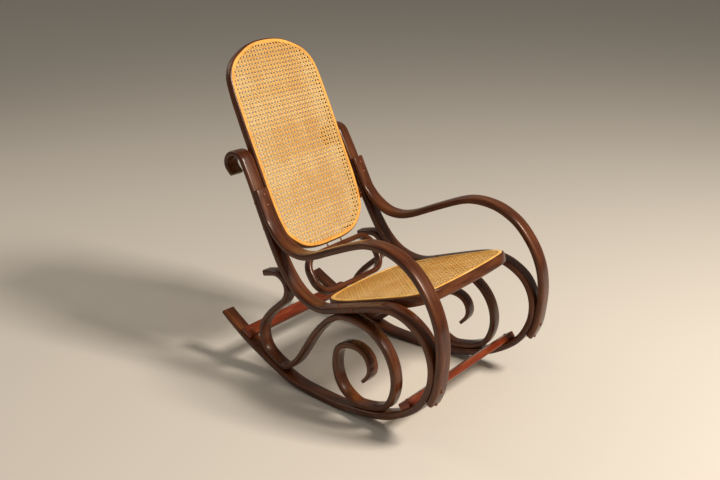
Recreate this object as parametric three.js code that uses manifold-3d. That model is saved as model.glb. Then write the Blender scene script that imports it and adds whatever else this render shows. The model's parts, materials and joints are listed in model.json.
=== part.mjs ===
// Bentwood rocking chair, in millimetres: the front faces -Y, the sitter's left is +X and +Z is up.
import * as THREE from "three";
import { NURBSCurve } from "three/addons/curves/NURBSCurve.js";
import { mergeVertices } from "three/addons/utils/BufferGeometryUtils.js";
import Module from "manifold-3d";

const wasm = await Module();
wasm.setup();

// Square in which the side profile is drawn, and the stance of the two sides.
const PROFILE_DEPTH = 1000;
const PROFILE_HEIGHT = 1000;
const HALF_SPREAD = 260;
const TOE_RUN = 1000;
const TOE_OFFSET = 60.5;

// Bent bars of the sides.
const FRAME_WIDTH = 46;
const FRAME_THICKNESS = 21;
const POST_THICKNESS = 17;
const CURL_TIP_THICKNESS = 12;
const TAIL_THICKNESS = 12;
const CURL_TAPER_LENGTH = 60;
const POST_LENGTH = 330;
const POST_BLEND_LENGTH = 470;
const TAIL_TAPER_LENGTH = 140;
const ARM_WIDTH = 46;
const ARM_THICKNESS = 20;
const ARM_LAP_THICKNESS = 14;
const ARM_LAP_LENGTH = 100;
const ARM_BLEND_LENGTH = 165;
const SCROLL_WIDTH = 38;
const SCROLL_THICKNESS = 18;
const SCROLL_HOOK_THICKNESS = 19;
const SCROLL_HOOK_LENGTH = 80;
const SCROLL_TIP_THICKNESS = 11;
const SCROLL_TIP_LENGTH = 150;
const BAR_CORNER_RADIUS = 6;
const BAR_CORNER_SHARE = 0.7;
const FLAT_FOOT_LENGTH = 40;
const FOOT_CENTRE_DEPTH = -14;

// Back panel, in its own leaning plane.
const PANEL_HALF_WIDTH = 193;
const PANEL_LOW = 417;
const PANEL_HIGH = 1072;
const PANEL_LEAN_RUN = 4122;
const PANEL_LEAN_RISE = 9111;
const PANEL_FLOOR_OFFSET = 11.3;
const HOOP_RADIAL = 19;
const HOOP_DEPTH = 24;
const HOOP_BEVEL = 4;
const CANE_THICKNESS = 2;
const CANE_MARGIN = 3;
const BINDING_WIDTH = 11;
const BLOCK_HEIGHT = 34;
const BLOCK_DEPTH = 18;
const BLOCK_LENGTH = 90;
const BLOCK_FORWARD = -4;

// Seat, in its own plane.
const SEAT_SLOPE_RUN = 1000;
const SEAT_SLOPE_DROP = 358.5;
const SEAT_HEIGHT = 307.5;
const SEAT_HALF_WIDTH = 228.5;
const SEAT_LENGTH = 452;
const SEAT_REAR_DEPTH = 90;
const SEAT_RIM_WIDTH = 34;
const SEAT_RIM_DEPTH = 31;
const SEAT_BEVEL = 3;
const SEAT_CANE_MARGIN = 6;

// Lower back ring and cross rails.
const RING_HALF_WIDTH = 160;
const RING_HEIGHT = 136;
const RING_LOW = 105;
const RING_CORNER_RADIUS = 60;
const RING_RADIAL = 16;
const RING_DEPTH = 26;
const RING_BEVEL = 3.5;
const RING_CENTRE_DEPTH = 148;
const RING_CENTRE_HEIGHT = 359.8;
const RING_LEAN_RUN = 700;
const RING_LEAN_RISE = 1000;
const STRETCHER_BREADTH = 38;
const STRETCHER_THICKNESS = 20;
const STRETCHER_BEVEL = 3;
const STRETCHER_END_INSET = 4;

// Screws and clearances.
const SCREW_RADIUS = 2.4;
const SCREW_HEAD_RADIUS = 5;
const SCREW_HEAD_HEIGHT = 2.6;
const SCREW_DOME_SHARE = 0.55;
const SCREW_LENGTH = 30;
const ARM_SCREW_LENGTH = 26;
const STRETCHER_SCREW_LENGTH = 34;
const SIDE_SCREW_LENGTH = 64;
const RING_SCREW_LENGTH = 26;
const CLEARANCE = 0.3;
const HEAD_CLEARANCE = 0.45;
const CUT_OVERRUN = 8;

// Fineness of curves and sections.
const SAMPLES_PER_POINT = 24;
const RING_TURN = 0.25;
const RING_STEP = 58;
const CORNER_STEPS = 2;
const ROUND_STEPS = 8;
const OUTLINE_STEPS = 64;

const MERGE_TOLERANCE = 0.001;
const HALF = 0.5;
const QUARTER_TURN = Math.PI / 2;
const TOE_ANGLE = Math.atan2(TOE_OFFSET, TOE_RUN);
const PANEL_ANGLE = Math.atan2(PANEL_LEAN_RUN, PANEL_LEAN_RISE);
const SEAT_ANGLE = Math.atan2(SEAT_SLOPE_DROP, SEAT_SLOPE_RUN);
const RING_ANGLE = Math.atan2(RING_LEAN_RUN, RING_LEAN_RISE);
const SIDES = [-1, 1];

// Side profile, as shares of the profile square: curled top, rear post, seat rail, front loop, rocker.
const curlAndPostShares = [
  [0.364, 0.624], [0.379, 0.6355], [0.3875, 0.6455], [0.3895, 0.6565], [0.3868, 0.6685],
  [0.3797, 0.6787], [0.3677, 0.6868], [0.3554, 0.6907], [0.3425, 0.6905], [0.3299, 0.687],
  [0.3195, 0.6775], [0.3117, 0.6613], [0.2993, 0.6403], [0.2791, 0.6001], [0.2604, 0.56],
  [0.2418, 0.5199], [0.2216, 0.4809], [0.2009, 0.4419], [0.1797, 0.4049], [0.1575, 0.3709],
  [0.1328, 0.3421], [0.1049, 0.3184], [0.0771, 0.3047], [0.0513, 0.2975], [0.0287, 0.2944],
  [0.0081, 0.2947],
];
const railAndLoopShares = [
  [-0.0125, 0.2985], [-0.0351, 0.3059], [-0.0721, 0.3195], [-0.1131, 0.3337], [-0.1541, 0.3473],
  [-0.1889, 0.3593], [-0.2216, 0.3688], [-0.2482, 0.3722], [-0.2727, 0.3705], [-0.2962, 0.3659],
  [-0.3181, 0.3567], [-0.3385, 0.345], [-0.3574, 0.3308], [-0.3726, 0.313], [-0.3843, 0.2922],
  [-0.392, 0.2708], [-0.3961, 0.2479], [-0.3961, 0.2249], [-0.3935, 0.2018], [-0.3864, 0.1787],
  [-0.3757, 0.1546], [-0.3619, 0.1318], [-0.3462, 0.1135], [-0.3288, 0.0992], [-0.311, 0.0859],
  [-0.2931, 0.0746], [-0.2737, 0.0637], [-0.2543, 0.0538], [-0.2329, 0.0454], [-0.2124, 0.038],
  [-0.1848, 0.031],
];
const rockerFrontShares = [
  [-0.15, 0.0243], [-0.111, 0.0184], [-0.0782, 0.0145],
];
const rockerRearShares = [
  [0.06, 0.0114], [0.0884, 0.013], [0.1152, 0.0154], [0.1369, 0.0197], [0.158, 0.0256],
  [0.1787, 0.0327], [0.1994, 0.0406], [0.2206, 0.0486], [0.2413, 0.0568], [0.262, 0.0652],
  [0.2827, 0.0741], [0.3029, 0.0827], [0.3236, 0.0917], [0.3433, 0.1008], [0.3631, 0.1113],
  [0.3828, 0.1224], [0.402, 0.1334], [0.4213, 0.1449], [0.44, 0.1572],
];

// The arm between its two laps, and the scroll between the places where it touches the frame.
const armShares = [
  [0.2118, 0.5001], [0.1958, 0.4797], [0.1741, 0.4613], [0.1524, 0.448], [0.1297, 0.4388],
  [0.108, 0.436], [0.0863, 0.4361], [0.0663, 0.4396], [0.0441, 0.4464], [0.0184, 0.4568],
  [-0.0156, 0.4739], [-0.0567, 0.4925], [-0.0987, 0.5116], [-0.1387, 0.5281], [-0.1643, 0.5349],
  [-0.1879, 0.5377], [-0.2114, 0.5375], [-0.2339, 0.5353], [-0.2574, 0.5305], [-0.2788, 0.5228],
  [-0.2998, 0.5125], [-0.3202, 0.4998], [-0.338, 0.485], [-0.3533, 0.4687], [-0.3675, 0.4514],
  [-0.3808, 0.4326], [-0.392, 0.4132], [-0.4011, 0.3929], [-0.4093, 0.3715], [-0.4149, 0.3501],
  [-0.4184, 0.3277], [-0.421, 0.3002], [-0.4208, 0.2722], [-0.4184, 0.2472],
];
const scrollHookShares = [
  [0.2454, 0.342], [0.2216, 0.3489], [0.1989, 0.3562], [0.1751, 0.3516], [0.1539, 0.3353],
  [0.1462, 0.3087], [0.1565, 0.2813], [0.173, 0.2645], [0.1901, 0.2506], [0.2071, 0.2347],
  [0.2237, 0.2198], [0.2376, 0.2035], [0.2511, 0.1861], [0.2604, 0.1688], [0.2646, 0.1501],
  [0.2635, 0.127], [0.2573, 0.1064], [0.247, 0.0909], [0.2335, 0.0786],
];
const scrollRiseShares = [
  [0.1596, 0.0563], [0.1384, 0.0704], [0.1111, 0.0974], [0.0987, 0.1164], [0.0858, 0.1351],
  [0.0735, 0.1544], [0.0621, 0.1732], [0.0498, 0.1925], [0.0371, 0.2093], [0.0232, 0.2273],
  [0.0088, 0.2434], [-0.0066, 0.2581], [-0.0212, 0.2725],
];
const scrollLoopShares = [
  [-0.0905, 0.2997], [-0.1075, 0.3007], [-0.13, 0.2994], [-0.1531, 0.2955], [-0.1766, 0.2887],
  [-0.1981, 0.2773], [-0.217, 0.2632], [-0.2335, 0.2463], [-0.2469, 0.2267], [-0.2572, 0.2049],
  [-0.2635, 0.1823], [-0.2661, 0.1592], [-0.2645, 0.1356], [-0.2584, 0.1117], [-0.2482, 0.0893],
  [-0.2337, 0.0712],
];
const scrollSpiralShares = [
  [-0.108, 0.0491], [-0.0895, 0.0578], [-0.0731, 0.0699], [-0.0606, 0.0857], [-0.0523, 0.1028],
  [-0.0467, 0.122], [-0.0443, 0.1423], [-0.0464, 0.165], [-0.051, 0.1868], [-0.0608, 0.2009],
  [-0.0746, 0.2112], [-0.0931, 0.2171], [-0.1192, 0.2219], [-0.1449, 0.2168], [-0.1631, 0.2048],
  [-0.1735, 0.1897], [-0.1789, 0.1692], [-0.1756, 0.1501], [-0.1653, 0.1359], [-0.1531, 0.1237],
];

// Stretches of the frame that other bars follow, as shares of the profile depth.
const POST_LAP_SHARES = [0.275, 0.2299];
const LOOP_LAP_SHARES = [0.212, 0.135];
const SMALL_LOOP_REST_SHARES = [0.2144, 0.1854];
const RAIL_REST_SHARES = [-0.0474, -0.0638];
const ROCKER_REST_SHARES = [-0.195, -0.1305];
const LAP_POINTS = 5;
const REST_POINTS = 3;
const footShares = [-1, -0.5, 0, 0.5, 1];
const ARM_END_SHARE = 0.14;

// Bounds that tell the stretches of the frame apart, as shares of the profile square.
const POST_LOW_SHARE = 0.42;
const POST_TOP_SHARE = 0.66;
const LOOP_FRONT_SHARE = 0.33;
const ROCKER_TOP_SHARE = 0.16;
const ROCKER_FRONT_SHARE = 0.16;
const RAIL_LOW_SHARE = 0.28;

// Outlines of the two caned panels, as shares of half width and length.
const panelOutlineShares = [
  [0, 1], [0.34, 0.99], [0.6, 0.96], [0.81, 0.92], [0.94, 0.862], [0.985, 0.777], [1, 0.66],
  [1, 0.44], [1, 0.27], [0.976, 0.178], [0.91, 0.103], [0.795, 0.063], [0.68, 0.035],
  [0.545, 0.016], [0.33, 0.003], [0, 0],
];
const seatOutlineShares = [
  [0, 0], [0.25, 0.006], [0.45, 0.021], [0.66, 0.056], [0.775, 0.11], [0.862, 0.185],
  [0.917, 0.262], [0.95, 0.34], [0.966, 0.43], [0.975, 0.54], [0.985, 0.66], [0.992, 0.76],
  [0.975, 0.85], [0.905, 0.925], [0.77, 0.968], [0.5, 0.99], [0.25, 0.998], [0, 1],
];

// Where the screws go, as shares of the profile depth along the bar that they enter.
const postScrewShares = [0.267, 0.253];
const loopScrewShares = [0.195, 0.157];
const seatBoltShares = [-0.12, -0.235];
const blockShares = [0.226, 0.26];
const rearStretcherShare = 0.338;
const frontStretcherHeightShare = 0.094;
const ringSeatScrewShare = 0.3;
const ringHoopScrewShare = 0.2;

function material(name, colour) {
  const made = new THREE.MeshStandardMaterial({ color: colour });
  made.name = name;
  return made;
}
function bentwood() {
  return material("bentwood", "#4a1f12");
}
function cane() {
  return material("cane", "#d9a54c");
}
function caneBinding() {
  return material("cane_binding", "#c98a36");
}
function screwSteel() {
  return material("screw_steel", "#6b6258");
}

// Solids and geometries.
function solidOf(geometry) {
  const plain = geometry.index ? geometry.toNonIndexed() : geometry.clone();
  plain.deleteAttribute("normal");
  plain.deleteAttribute("uv");
  const merged = mergeVertices(plain, MERGE_TOLERANCE);
  const triVerts = new Uint32Array(merged.index.array);
  return new wasm.Manifold(
    new wasm.Mesh({ numProp: 3, vertProperties: merged.attributes.position.array, triVerts }),
  );
}
function geometryOf(solid) {
  const mesh = solid.getMesh();
  const geometry = new THREE.BufferGeometry();
  geometry.setAttribute("position", new THREE.BufferAttribute(mesh.vertProperties, 3));
  geometry.setIndex(new THREE.BufferAttribute(mesh.triVerts, 1));
  const faceted = geometry.toNonIndexed();
  faceted.computeVertexNormals();
  return faceted;
}
function cut(geometry, cutters) {
  let solid = solidOf(geometry);
  for (const cutter of cutters) {
    solid = solid.subtract(solidOf(cutter));
  }
  return geometryOf(solid);
}

// Smooth path in the (depth, height) plane, with even samples along it.
function profilePoint(share) {
  return new THREE.Vector2(share[0] * PROFILE_DEPTH, share[1] * PROFILE_HEIGHT);
}
function smoothPath(points) {
  const degree = 3;
  const inner = points.length - degree;
  const knots = [];
  for (let i = 0; i < points.length + degree + 1; i += 1) {
    knots.push(Math.min(Math.max(i - degree, 0), inner));
  }
  const control = points.map((p) => new THREE.Vector4(p.x, p.y, 0, 1));
  const curve = new NURBSCurve(degree, knots, control);
  const count = points.length * SAMPLES_PER_POINT;
  const samples = [];
  let run = 0;
  for (let i = 0; i <= count; i += 1) {
    const at = curve.getPoint(i / count);
    const point = new THREE.Vector2(at.x, at.y);
    if (samples.length) {
      run += point.distanceTo(samples[samples.length - 1].point);
    }
    samples.push({ point, run });
  }
  samples.forEach((sample, i) => {
    const before = samples[Math.max(i - 1, 0)].point;
    const after = samples[Math.min(i + 1, count)].point;
    sample.tangent = after.clone().sub(before).normalize();
    sample.normal = new THREE.Vector2(-sample.tangent.y, sample.tangent.x);
  });
  return samples;
}
function sampleWhere(samples, test, score) {
  let best = null;
  for (const sample of samples) {
    if (test(sample) && (!best || score(sample) < score(best))) {
      best = sample;
    }
  }
  return best;
}
function atDepth(samples, share, test) {
  const depth = share * PROFILE_DEPTH;
  return sampleWhere(samples, test, (s) => Math.abs(s.point.x - depth));
}
function atHeight(samples, share, test) {
  const height = share * PROFILE_HEIGHT;
  return sampleWhere(samples, test, (s) => Math.abs(s.point.y - height));
}
function besideStretch(samples, first, last, count, offset) {
  const points = [];
  for (let i = 0; i < count; i += 1) {
    const run = first.run + ((last.run - first.run) * i) / (count - 1);
    const at = sampleWhere(samples, () => true, (s) => Math.abs(s.run - run));
    points.push(at.point.clone().addScaledVector(at.normal, offset));
  }
  return points;
}

// Thickness that changes evenly between stops along a bar.
function thicknessFrom(stops) {
  return (run) => {
    for (let i = 1; i < stops.length; i += 1) {
      if (run <= stops[i].run) {
        const part = (run - stops[i - 1].run) / (stops[i].run - stops[i - 1].run);
        return THREE.MathUtils.lerp(stops[i - 1].thickness, stops[i].thickness, Math.max(part, 0));
      }
    }
    return stops[stops.length - 1].thickness;
  };
}

// Rounded rectangle, as offsets across the bar (x) and through it (y).
function barSection(width, thickness) {
  const radius = Math.min(BAR_CORNER_RADIUS, thickness * HALF * BAR_CORNER_SHARE);
  const centres = [
    [width * HALF - radius, thickness * HALF - radius],
    [-width * HALF + radius, thickness * HALF - radius],
    [-width * HALF + radius, -thickness * HALF + radius],
    [width * HALF - radius, -thickness * HALF + radius],
  ];
  const points = [];
  centres.forEach((centre, quarter) => {
    for (let i = 0; i <= CORNER_STEPS; i += 1) {
      const angle = QUARTER_TURN * (quarter + i / CORNER_STEPS);
      points.push([centre[0] + radius * Math.cos(angle), centre[1] + radius * Math.sin(angle)]);
    }
  });
  return points;
}
function ringSamples(samples, kept) {
  const rings = [samples[0]];
  for (const sample of samples) {
    const last = rings[rings.length - 1];
    const turned = Math.acos(Math.min(1, last.tangent.dot(sample.tangent)));
    const far = sample.run - last.run >= RING_STEP;
    if (turned >= RING_TURN || far || (kept.includes(sample) && sample !== last)) {
      rings.push(sample);
    }
  }
  const end = samples[samples.length - 1];
  if (rings[rings.length - 1] !== end) {
    rings.push(end);
  }
  return rings;
}

// Bent bar: a rounded rectangle carried along a path, centred on x = 0.
function sweepBar({ samples, width, thicknessAt, grow = 0, kept = [] }) {
  const rings = ringSamples(samples, kept);
  const positions = [];
  for (const ring of rings) {
    const section = barSection(width + grow + grow, thicknessAt(ring.run) + grow + grow);
    for (const [across, through] of section) {
      const y = ring.point.x + ring.normal.x * through;
      const z = ring.point.y + ring.normal.y * through;
      positions.push(across, y, z);
    }
  }
  const around = (CORNER_STEPS + 1) * 4;
  const index = [];
  for (let r = 0; r < rings.length - 1; r += 1) {
    for (let i = 0; i < around; i += 1) {
      const a = r * around + i;
      const b = r * around + ((i + 1) % around);
      index.push(a, b + around, b, a, a + around, b + around);
    }
  }
  const lastRing = (rings.length - 1) * around;
  for (let i = 1; i < around - 1; i += 1) {
    index.push(0, i, i + 1);
    index.push(lastRing, lastRing + i + 1, lastRing + i);
  }
  const geometry = new THREE.BufferGeometry();
  geometry.setAttribute("position", new THREE.Float32BufferAttribute(positions, 3));
  geometry.setIndex(index);
  return geometry;
}

// Paths of the three bars of a side.
function framePath() {
  const footHeight = FRAME_THICKNESS * HALF;
  const foot = footShares.map(
    (share) => new THREE.Vector2(FOOT_CENTRE_DEPTH + share * FLAT_FOOT_LENGTH, footHeight),
  );
  const front = [...curlAndPostShares, ...railAndLoopShares, ...rockerFrontShares];
  return smoothPath([...front.map(profilePoint), ...foot, ...rockerRearShares.map(profilePoint)]);
}
function onPost(sample) {
  const height = sample.point.y / PROFILE_HEIGHT;
  return height > POST_LOW_SHARE && height < POST_TOP_SHARE && sample.tangent.y < 0;
}
function onLoop(sample) {
  return sample.point.x < -LOOP_FRONT_SHARE * PROFILE_DEPTH && sample.tangent.y < 0;
}
function onRocker(sample) {
  return sample.point.y < ROCKER_TOP_SHARE * PROFILE_HEIGHT;
}
function onFrontRocker(sample) {
  return sample.point.x < -ROCKER_FRONT_SHARE * PROFILE_DEPTH && sample.tangent.y < 0;
}
function onRail(sample) {
  return sample.point.y > RAIL_LOW_SHARE * PROFILE_HEIGHT && sample.tangent.x < 0;
}
function armPath(frame) {
  const postOffset = -(POST_THICKNESS + ARM_LAP_THICKNESS) * HALF - CLEARANCE;
  const loopOffset = -(FRAME_THICKNESS + ARM_THICKNESS) * HALF - CLEARANCE;
  const post = POST_LAP_SHARES.map((share) => atDepth(frame, share, onPost));
  const loop = LOOP_LAP_SHARES.map((share) => atHeight(frame, share, onLoop));
  return smoothPath([
    ...besideStretch(frame, post[0], post[1], LAP_POINTS, postOffset),
    ...armShares.map(profilePoint),
    ...besideStretch(frame, loop[0], loop[1], LAP_POINTS, loopOffset),
  ]);
}
function restPoints(frame, shares, test, offset) {
  const ends = shares.map((share) => atDepth(frame, share, test));
  return besideStretch(frame, ends[0], ends[1], REST_POINTS, offset);
}
function scrollPath(frame) {
  const offset = (FRAME_THICKNESS + SCROLL_THICKNESS) * HALF + CLEARANCE;
  return smoothPath([
    ...scrollHookShares.map(profilePoint),
    ...restPoints(frame, SMALL_LOOP_REST_SHARES, onRocker, offset),
    ...scrollRiseShares.map(profilePoint),
    ...restPoints(frame, RAIL_REST_SHARES, onRail, offset),
    ...scrollLoopShares.map(profilePoint),
    ...restPoints(frame, ROCKER_REST_SHARES, onRocker, offset),
    ...scrollSpiralShares.map(profilePoint),
  ]);
}
function frameThickness(frame) {
  const length = frame[frame.length - 1].run;
  return thicknessFrom([
    { run: 0, thickness: CURL_TIP_THICKNESS },
    { run: CURL_TAPER_LENGTH, thickness: POST_THICKNESS },
    { run: POST_LENGTH, thickness: POST_THICKNESS },
    { run: POST_BLEND_LENGTH, thickness: FRAME_THICKNESS },
    { run: length - TAIL_TAPER_LENGTH, thickness: FRAME_THICKNESS },
    { run: length, thickness: TAIL_THICKNESS },
  ]);
}
function armThickness(arm) {
  return thicknessFrom([
    { run: 0, thickness: ARM_LAP_THICKNESS },
    { run: ARM_LAP_LENGTH, thickness: ARM_LAP_THICKNESS },
    { run: ARM_BLEND_LENGTH, thickness: ARM_THICKNESS },
    { run: arm[arm.length - 1].run, thickness: ARM_THICKNESS },
  ]);
}
function scrollThickness(scroll) {
  const length = scroll[scroll.length - 1].run;
  return thicknessFrom([
    { run: 0, thickness: SCROLL_HOOK_THICKNESS },
    { run: SCROLL_HOOK_LENGTH, thickness: SCROLL_THICKNESS },
    { run: length - SCROLL_TIP_LENGTH, thickness: SCROLL_THICKNESS },
    { run: length, thickness: SCROLL_TIP_THICKNESS },
  ]);
}

// Screw with a domed head: it starts at the origin, its head stands on +Z and its shank runs down -Z.
function screwGeometry(length, grow = 0) {
  const radius = SCREW_RADIUS + grow;
  const head = SCREW_HEAD_RADIUS + grow;
  const low = grow > 0 ? -length - grow : -length;
  const rise = SCREW_HEAD_HEIGHT + (grow > 0 ? CUT_OVERRUN : 0);
  const dome = head * SCREW_DOME_SHARE;
  const profile = [
    [0, low], [radius, low], [radius, HEAD_CLEARANCE], [head, HEAD_CLEARANCE],
    [head, HEAD_CLEARANCE + rise * HALF], [dome, HEAD_CLEARANCE + rise], [0, HEAD_CLEARANCE + rise],
  ];
  const plain = [[0, low], [radius, low], [radius, rise], [0, rise]];
  const outline = (grow > 0 ? plain : profile).map(([x, y]) => new THREE.Vector2(x, y));
  return new THREE.LatheGeometry(outline, ROUND_STEPS).rotateX(QUARTER_TURN);
}
function turned(geometry, place) {
  return geometry.clone().applyMatrix4(place);
}
function placeAt(position, outward) {
  const turn = new THREE.Quaternion().setFromUnitVectors(new THREE.Vector3(0, 0, 1), outward);
  return new THREE.Matrix4().compose(position, turn, new THREE.Vector3(1, 1, 1));
}
function sideScrew(name, sample, surface, outwardSign, length) {
  const outward = new THREE.Vector3(0, sample.normal.x, sample.normal.y).multiplyScalar(outwardSign);
  const position = new THREE.Vector3(0, sample.point.x, sample.point.y).addScaledVector(outward, surface);
  return { name, length, place: placeAt(position, outward) };
}

const FRAME = framePath();
const FRAME_FOOT = SIDES.map((side) =>
  atDepth(FRAME, (FOOT_CENTRE_DEPTH + side * FLAT_FOOT_LENGTH * HALF) / PROFILE_DEPTH, onRocker),
);
const ARM = armPath(FRAME);
const SCROLL = scrollPath(FRAME);

function frameBar(grow) {
  const thicknessAt = frameThickness(FRAME);
  return sweepBar({ samples: FRAME, width: FRAME_WIDTH, thicknessAt, grow, kept: FRAME_FOOT });
}
function armBar(grow) {
  return sweepBar({ samples: ARM, width: ARM_WIDTH, thicknessAt: armThickness(ARM), grow });
}
function scrollBar(grow) {
  const thicknessAt = scrollThickness(SCROLL);
  return sweepBar({ samples: SCROLL, width: SCROLL_WIDTH, thicknessAt, grow });
}
function stretcherSample(kind) {
  if (kind === "rear") {
    return atDepth(FRAME, rearStretcherShare, onRocker);
  }
  return atHeight(FRAME, frontStretcherHeightShare, onFrontRocker);
}

// Screws of one side, in the side's own frame.
function sideScrews() {
  const armFace = ARM_LAP_THICKNESS + CLEARANCE + POST_THICKNESS * HALF;
  const loopFace = ARM_THICKNESS + CLEARANCE + FRAME_THICKNESS * HALF;
  const face = FRAME_THICKNESS * HALF;
  const list = [];
  postScrewShares.forEach((share, i) => {
    const at = atDepth(FRAME, share, onPost);
    list.push(sideScrew("arm_screw_post_" + (i + 1), at, armFace, -1, ARM_SCREW_LENGTH));
  });
  loopScrewShares.forEach((share, i) => {
    const at = atHeight(FRAME, share, onLoop);
    list.push(sideScrew("arm_screw_loop_" + (i + 1), at, loopFace, -1, SCREW_LENGTH));
  });
  const rail = atDepth(FRAME, (RAIL_REST_SHARES[0] + RAIL_REST_SHARES[1]) * HALF, onRail);
  list.push(sideScrew("scroll_screw_rail", rail, face, -1, SCREW_LENGTH));
  const smallShare = (SMALL_LOOP_REST_SHARES[0] + SMALL_LOOP_REST_SHARES[1]) * HALF;
  const small = atDepth(FRAME, smallShare, onRocker);
  list.push(sideScrew("scroll_screw_rear", small, face, -1, SCREW_LENGTH));
  const big = atDepth(FRAME, (ROCKER_REST_SHARES[0] + ROCKER_REST_SHARES[1]) * HALF, onRocker);
  list.push(sideScrew("scroll_screw_front", big, face, -1, SCREW_LENGTH));
  return list;
}
function stretcherScrews() {
  return ["front", "rear"].map((kind) => {
    const at = stretcherSample(kind);
    const face = FRAME_THICKNESS * HALF + CLEARANCE + CLEARANCE + STRETCHER_THICKNESS;
    return sideScrew(kind + "_stretcher_screw", at, face, 1, STRETCHER_SCREW_LENGTH);
  });
}

// Place of a side: its bars are centred on the plane inside its outer face.
function sideMatrix(side) {
  const inward = new THREE.Matrix4().makeTranslation(-side * FRAME_WIDTH * HALF, 0, 0);
  const turn = new THREE.Matrix4().makeRotationZ(side * TOE_ANGLE);
  const place = new THREE.Matrix4().makeTranslation(side * HALF_SPREAD, 0, 0);
  return place.multiply(turn).multiply(inward);
}
function sideName(side) {
  return side > 0 ? "left" : "right";
}
function panelMatrix(front) {
  const turn = new THREE.Matrix4().makeRotationX(QUARTER_TURN - PANEL_ANGLE);
  const place = new THREE.Matrix4().makeTranslation(0, 0, PANEL_FLOOR_OFFSET);
  return place.multiply(turn).multiply(new THREE.Matrix4().makeTranslation(0, 0, -front));
}
function seatMatrix(drop) {
  const turn = new THREE.Matrix4().makeRotationX(-SEAT_ANGLE);
  const place = new THREE.Matrix4().makeTranslation(0, 0, SEAT_HEIGHT);
  return place.multiply(turn).multiply(new THREE.Matrix4().makeTranslation(0, 0, -drop));
}
function ringMatrix() {
  const turn = new THREE.Matrix4().makeRotationX(QUARTER_TURN - RING_ANGLE);
  const place = new THREE.Matrix4().makeTranslation(0, RING_CENTRE_DEPTH, RING_CENTRE_HEIGHT);
  return place.multiply(turn);
}

// Closed outlines, mirrored about x = 0.
function mirroredOutline(halfPoints) {
  const back = halfPoints.slice(1, -1).reverse().map((p) => new THREE.Vector3(-p.x, p.y, 0));
  const loop = new THREE.CatmullRomCurve3([...halfPoints, ...back], true, "centripetal");
  return loop.getSpacedPoints(OUTLINE_STEPS).slice(0, OUTLINE_STEPS);
}
function panelOutline() {
  const rise = PANEL_HIGH - PANEL_LOW;
  const points = panelOutlineShares.map(
    ([x, y]) => new THREE.Vector3(x * PANEL_HALF_WIDTH, PANEL_LOW + y * rise, 0),
  );
  return mirroredOutline(points);
}
function seatOutline() {
  const points = seatOutlineShares.map(
    ([x, y]) => new THREE.Vector3(x * SEAT_HALF_WIDTH, SEAT_REAR_DEPTH - y * SEAT_LENGTH, 0),
  );
  return mirroredOutline(points);
}
function insetOutline(points, inset) {
  return points.map((point, i) => {
    const before = points[(i + points.length - 1) % points.length];
    const after = points[(i + 1) % points.length];
    const along = after.clone().sub(before).normalize();
    const inward = new THREE.Vector3(-along.y, along.x, 0).multiplyScalar(windingOf(points));
    return point.clone().addScaledVector(inward, inset);
  });
}
function windingOf(points) {
  const flat = points.map((p) => new THREE.Vector2(p.x, p.y));
  return THREE.ShapeUtils.isClockWise(flat) ? -1 : 1;
}
function flatLoop(points) {
  const flat = points.map((p) => new THREE.Vector2(p.x, p.y));
  return THREE.ShapeUtils.isClockWise(flat) ? flat.reverse() : flat;
}
function shapeOf(points, holePoints) {
  const shape = new THREE.Shape(flatLoop(points));
  if (holePoints) {
    shape.holes.push(new THREE.Path(flatLoop(holePoints)));
  }
  return shape;
}
// Plate or hoop with rounded edges: its top face is z = 0 and it goes down by its depth.
function hoopGeometry(outline, radial, depth, bevel) {
  const outer = insetOutline(outline, bevel);
  const inner = insetOutline(outline, radial - bevel);
  const settings = {
    depth: depth - bevel - bevel,
    bevelEnabled: true,
    bevelSize: bevel,
    bevelThickness: bevel,
    bevelSegments: CORNER_STEPS,
    steps: 1,
  };
  return new THREE.ExtrudeGeometry(shapeOf(outer, inner), settings).translate(0, 0, bevel - depth);
}
function plateGeometry(outline, depth) {
  const settings = { depth, bevelEnabled: false };
  return new THREE.ExtrudeGeometry(shapeOf(outline), settings).translate(0, 0, -depth);
}
function bandGeometry(outline, width, depth) {
  const settings = { depth, bevelEnabled: false };
  const shape = shapeOf(outline, insetOutline(outline, width));
  return new THREE.ExtrudeGeometry(shape, settings).translate(0, 0, -depth);
}

function meshOf(name, geometry, surface) {
  const mesh = new THREE.Mesh(geometry, surface);
  mesh.name = name;
  return mesh;
}
function screwMeshes(screws, suffix) {
  return screws.map((screw) => {
    const mesh = meshOf(screw.name + suffix, screwGeometry(screw.length), screwSteel());
    mesh.applyMatrix4(screw.place);
    return mesh;
  });
}
function screwBores(screws) {
  return screws.map((screw) => turned(screwGeometry(screw.length, CLEARANCE), screw.place));
}

// World place of screws that join a side to the panel blocks, the seat rim or the ring.
function crossBolt(name, side, sample, through, length) {
  const outward = new THREE.Vector3(side, 0, 0);
  const y = sample.point.x + sample.normal.x * through;
  const z = sample.point.y + sample.normal.y * through;
  const position = new THREE.Vector3(side * FRAME_WIDTH * HALF, y, z);
  return { name, length, place: placeAt(position, outward) };
}
function seatBolts(side) {
  return seatBoltShares.map((share, i) => {
    const at = atDepth(FRAME, share, onRail);
    return crossBolt("seat_bolt_" + (i + 1), side, at, 0, SIDE_SCREW_LENGTH);
  });
}
function panelRiseOf(point) {
  return point.x * Math.sin(PANEL_ANGLE) + (point.y - PANEL_FLOOR_OFFSET) * Math.cos(PANEL_ANGLE);
}
function hoopBolts(side) {
  return blockShares.map((share, i) => {
    const at = atDepth(FRAME, share, onPost);
    return crossBolt("hoop_bolt_" + (i + 1), side, at, 0, SIDE_SCREW_LENGTH);
  });
}

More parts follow.
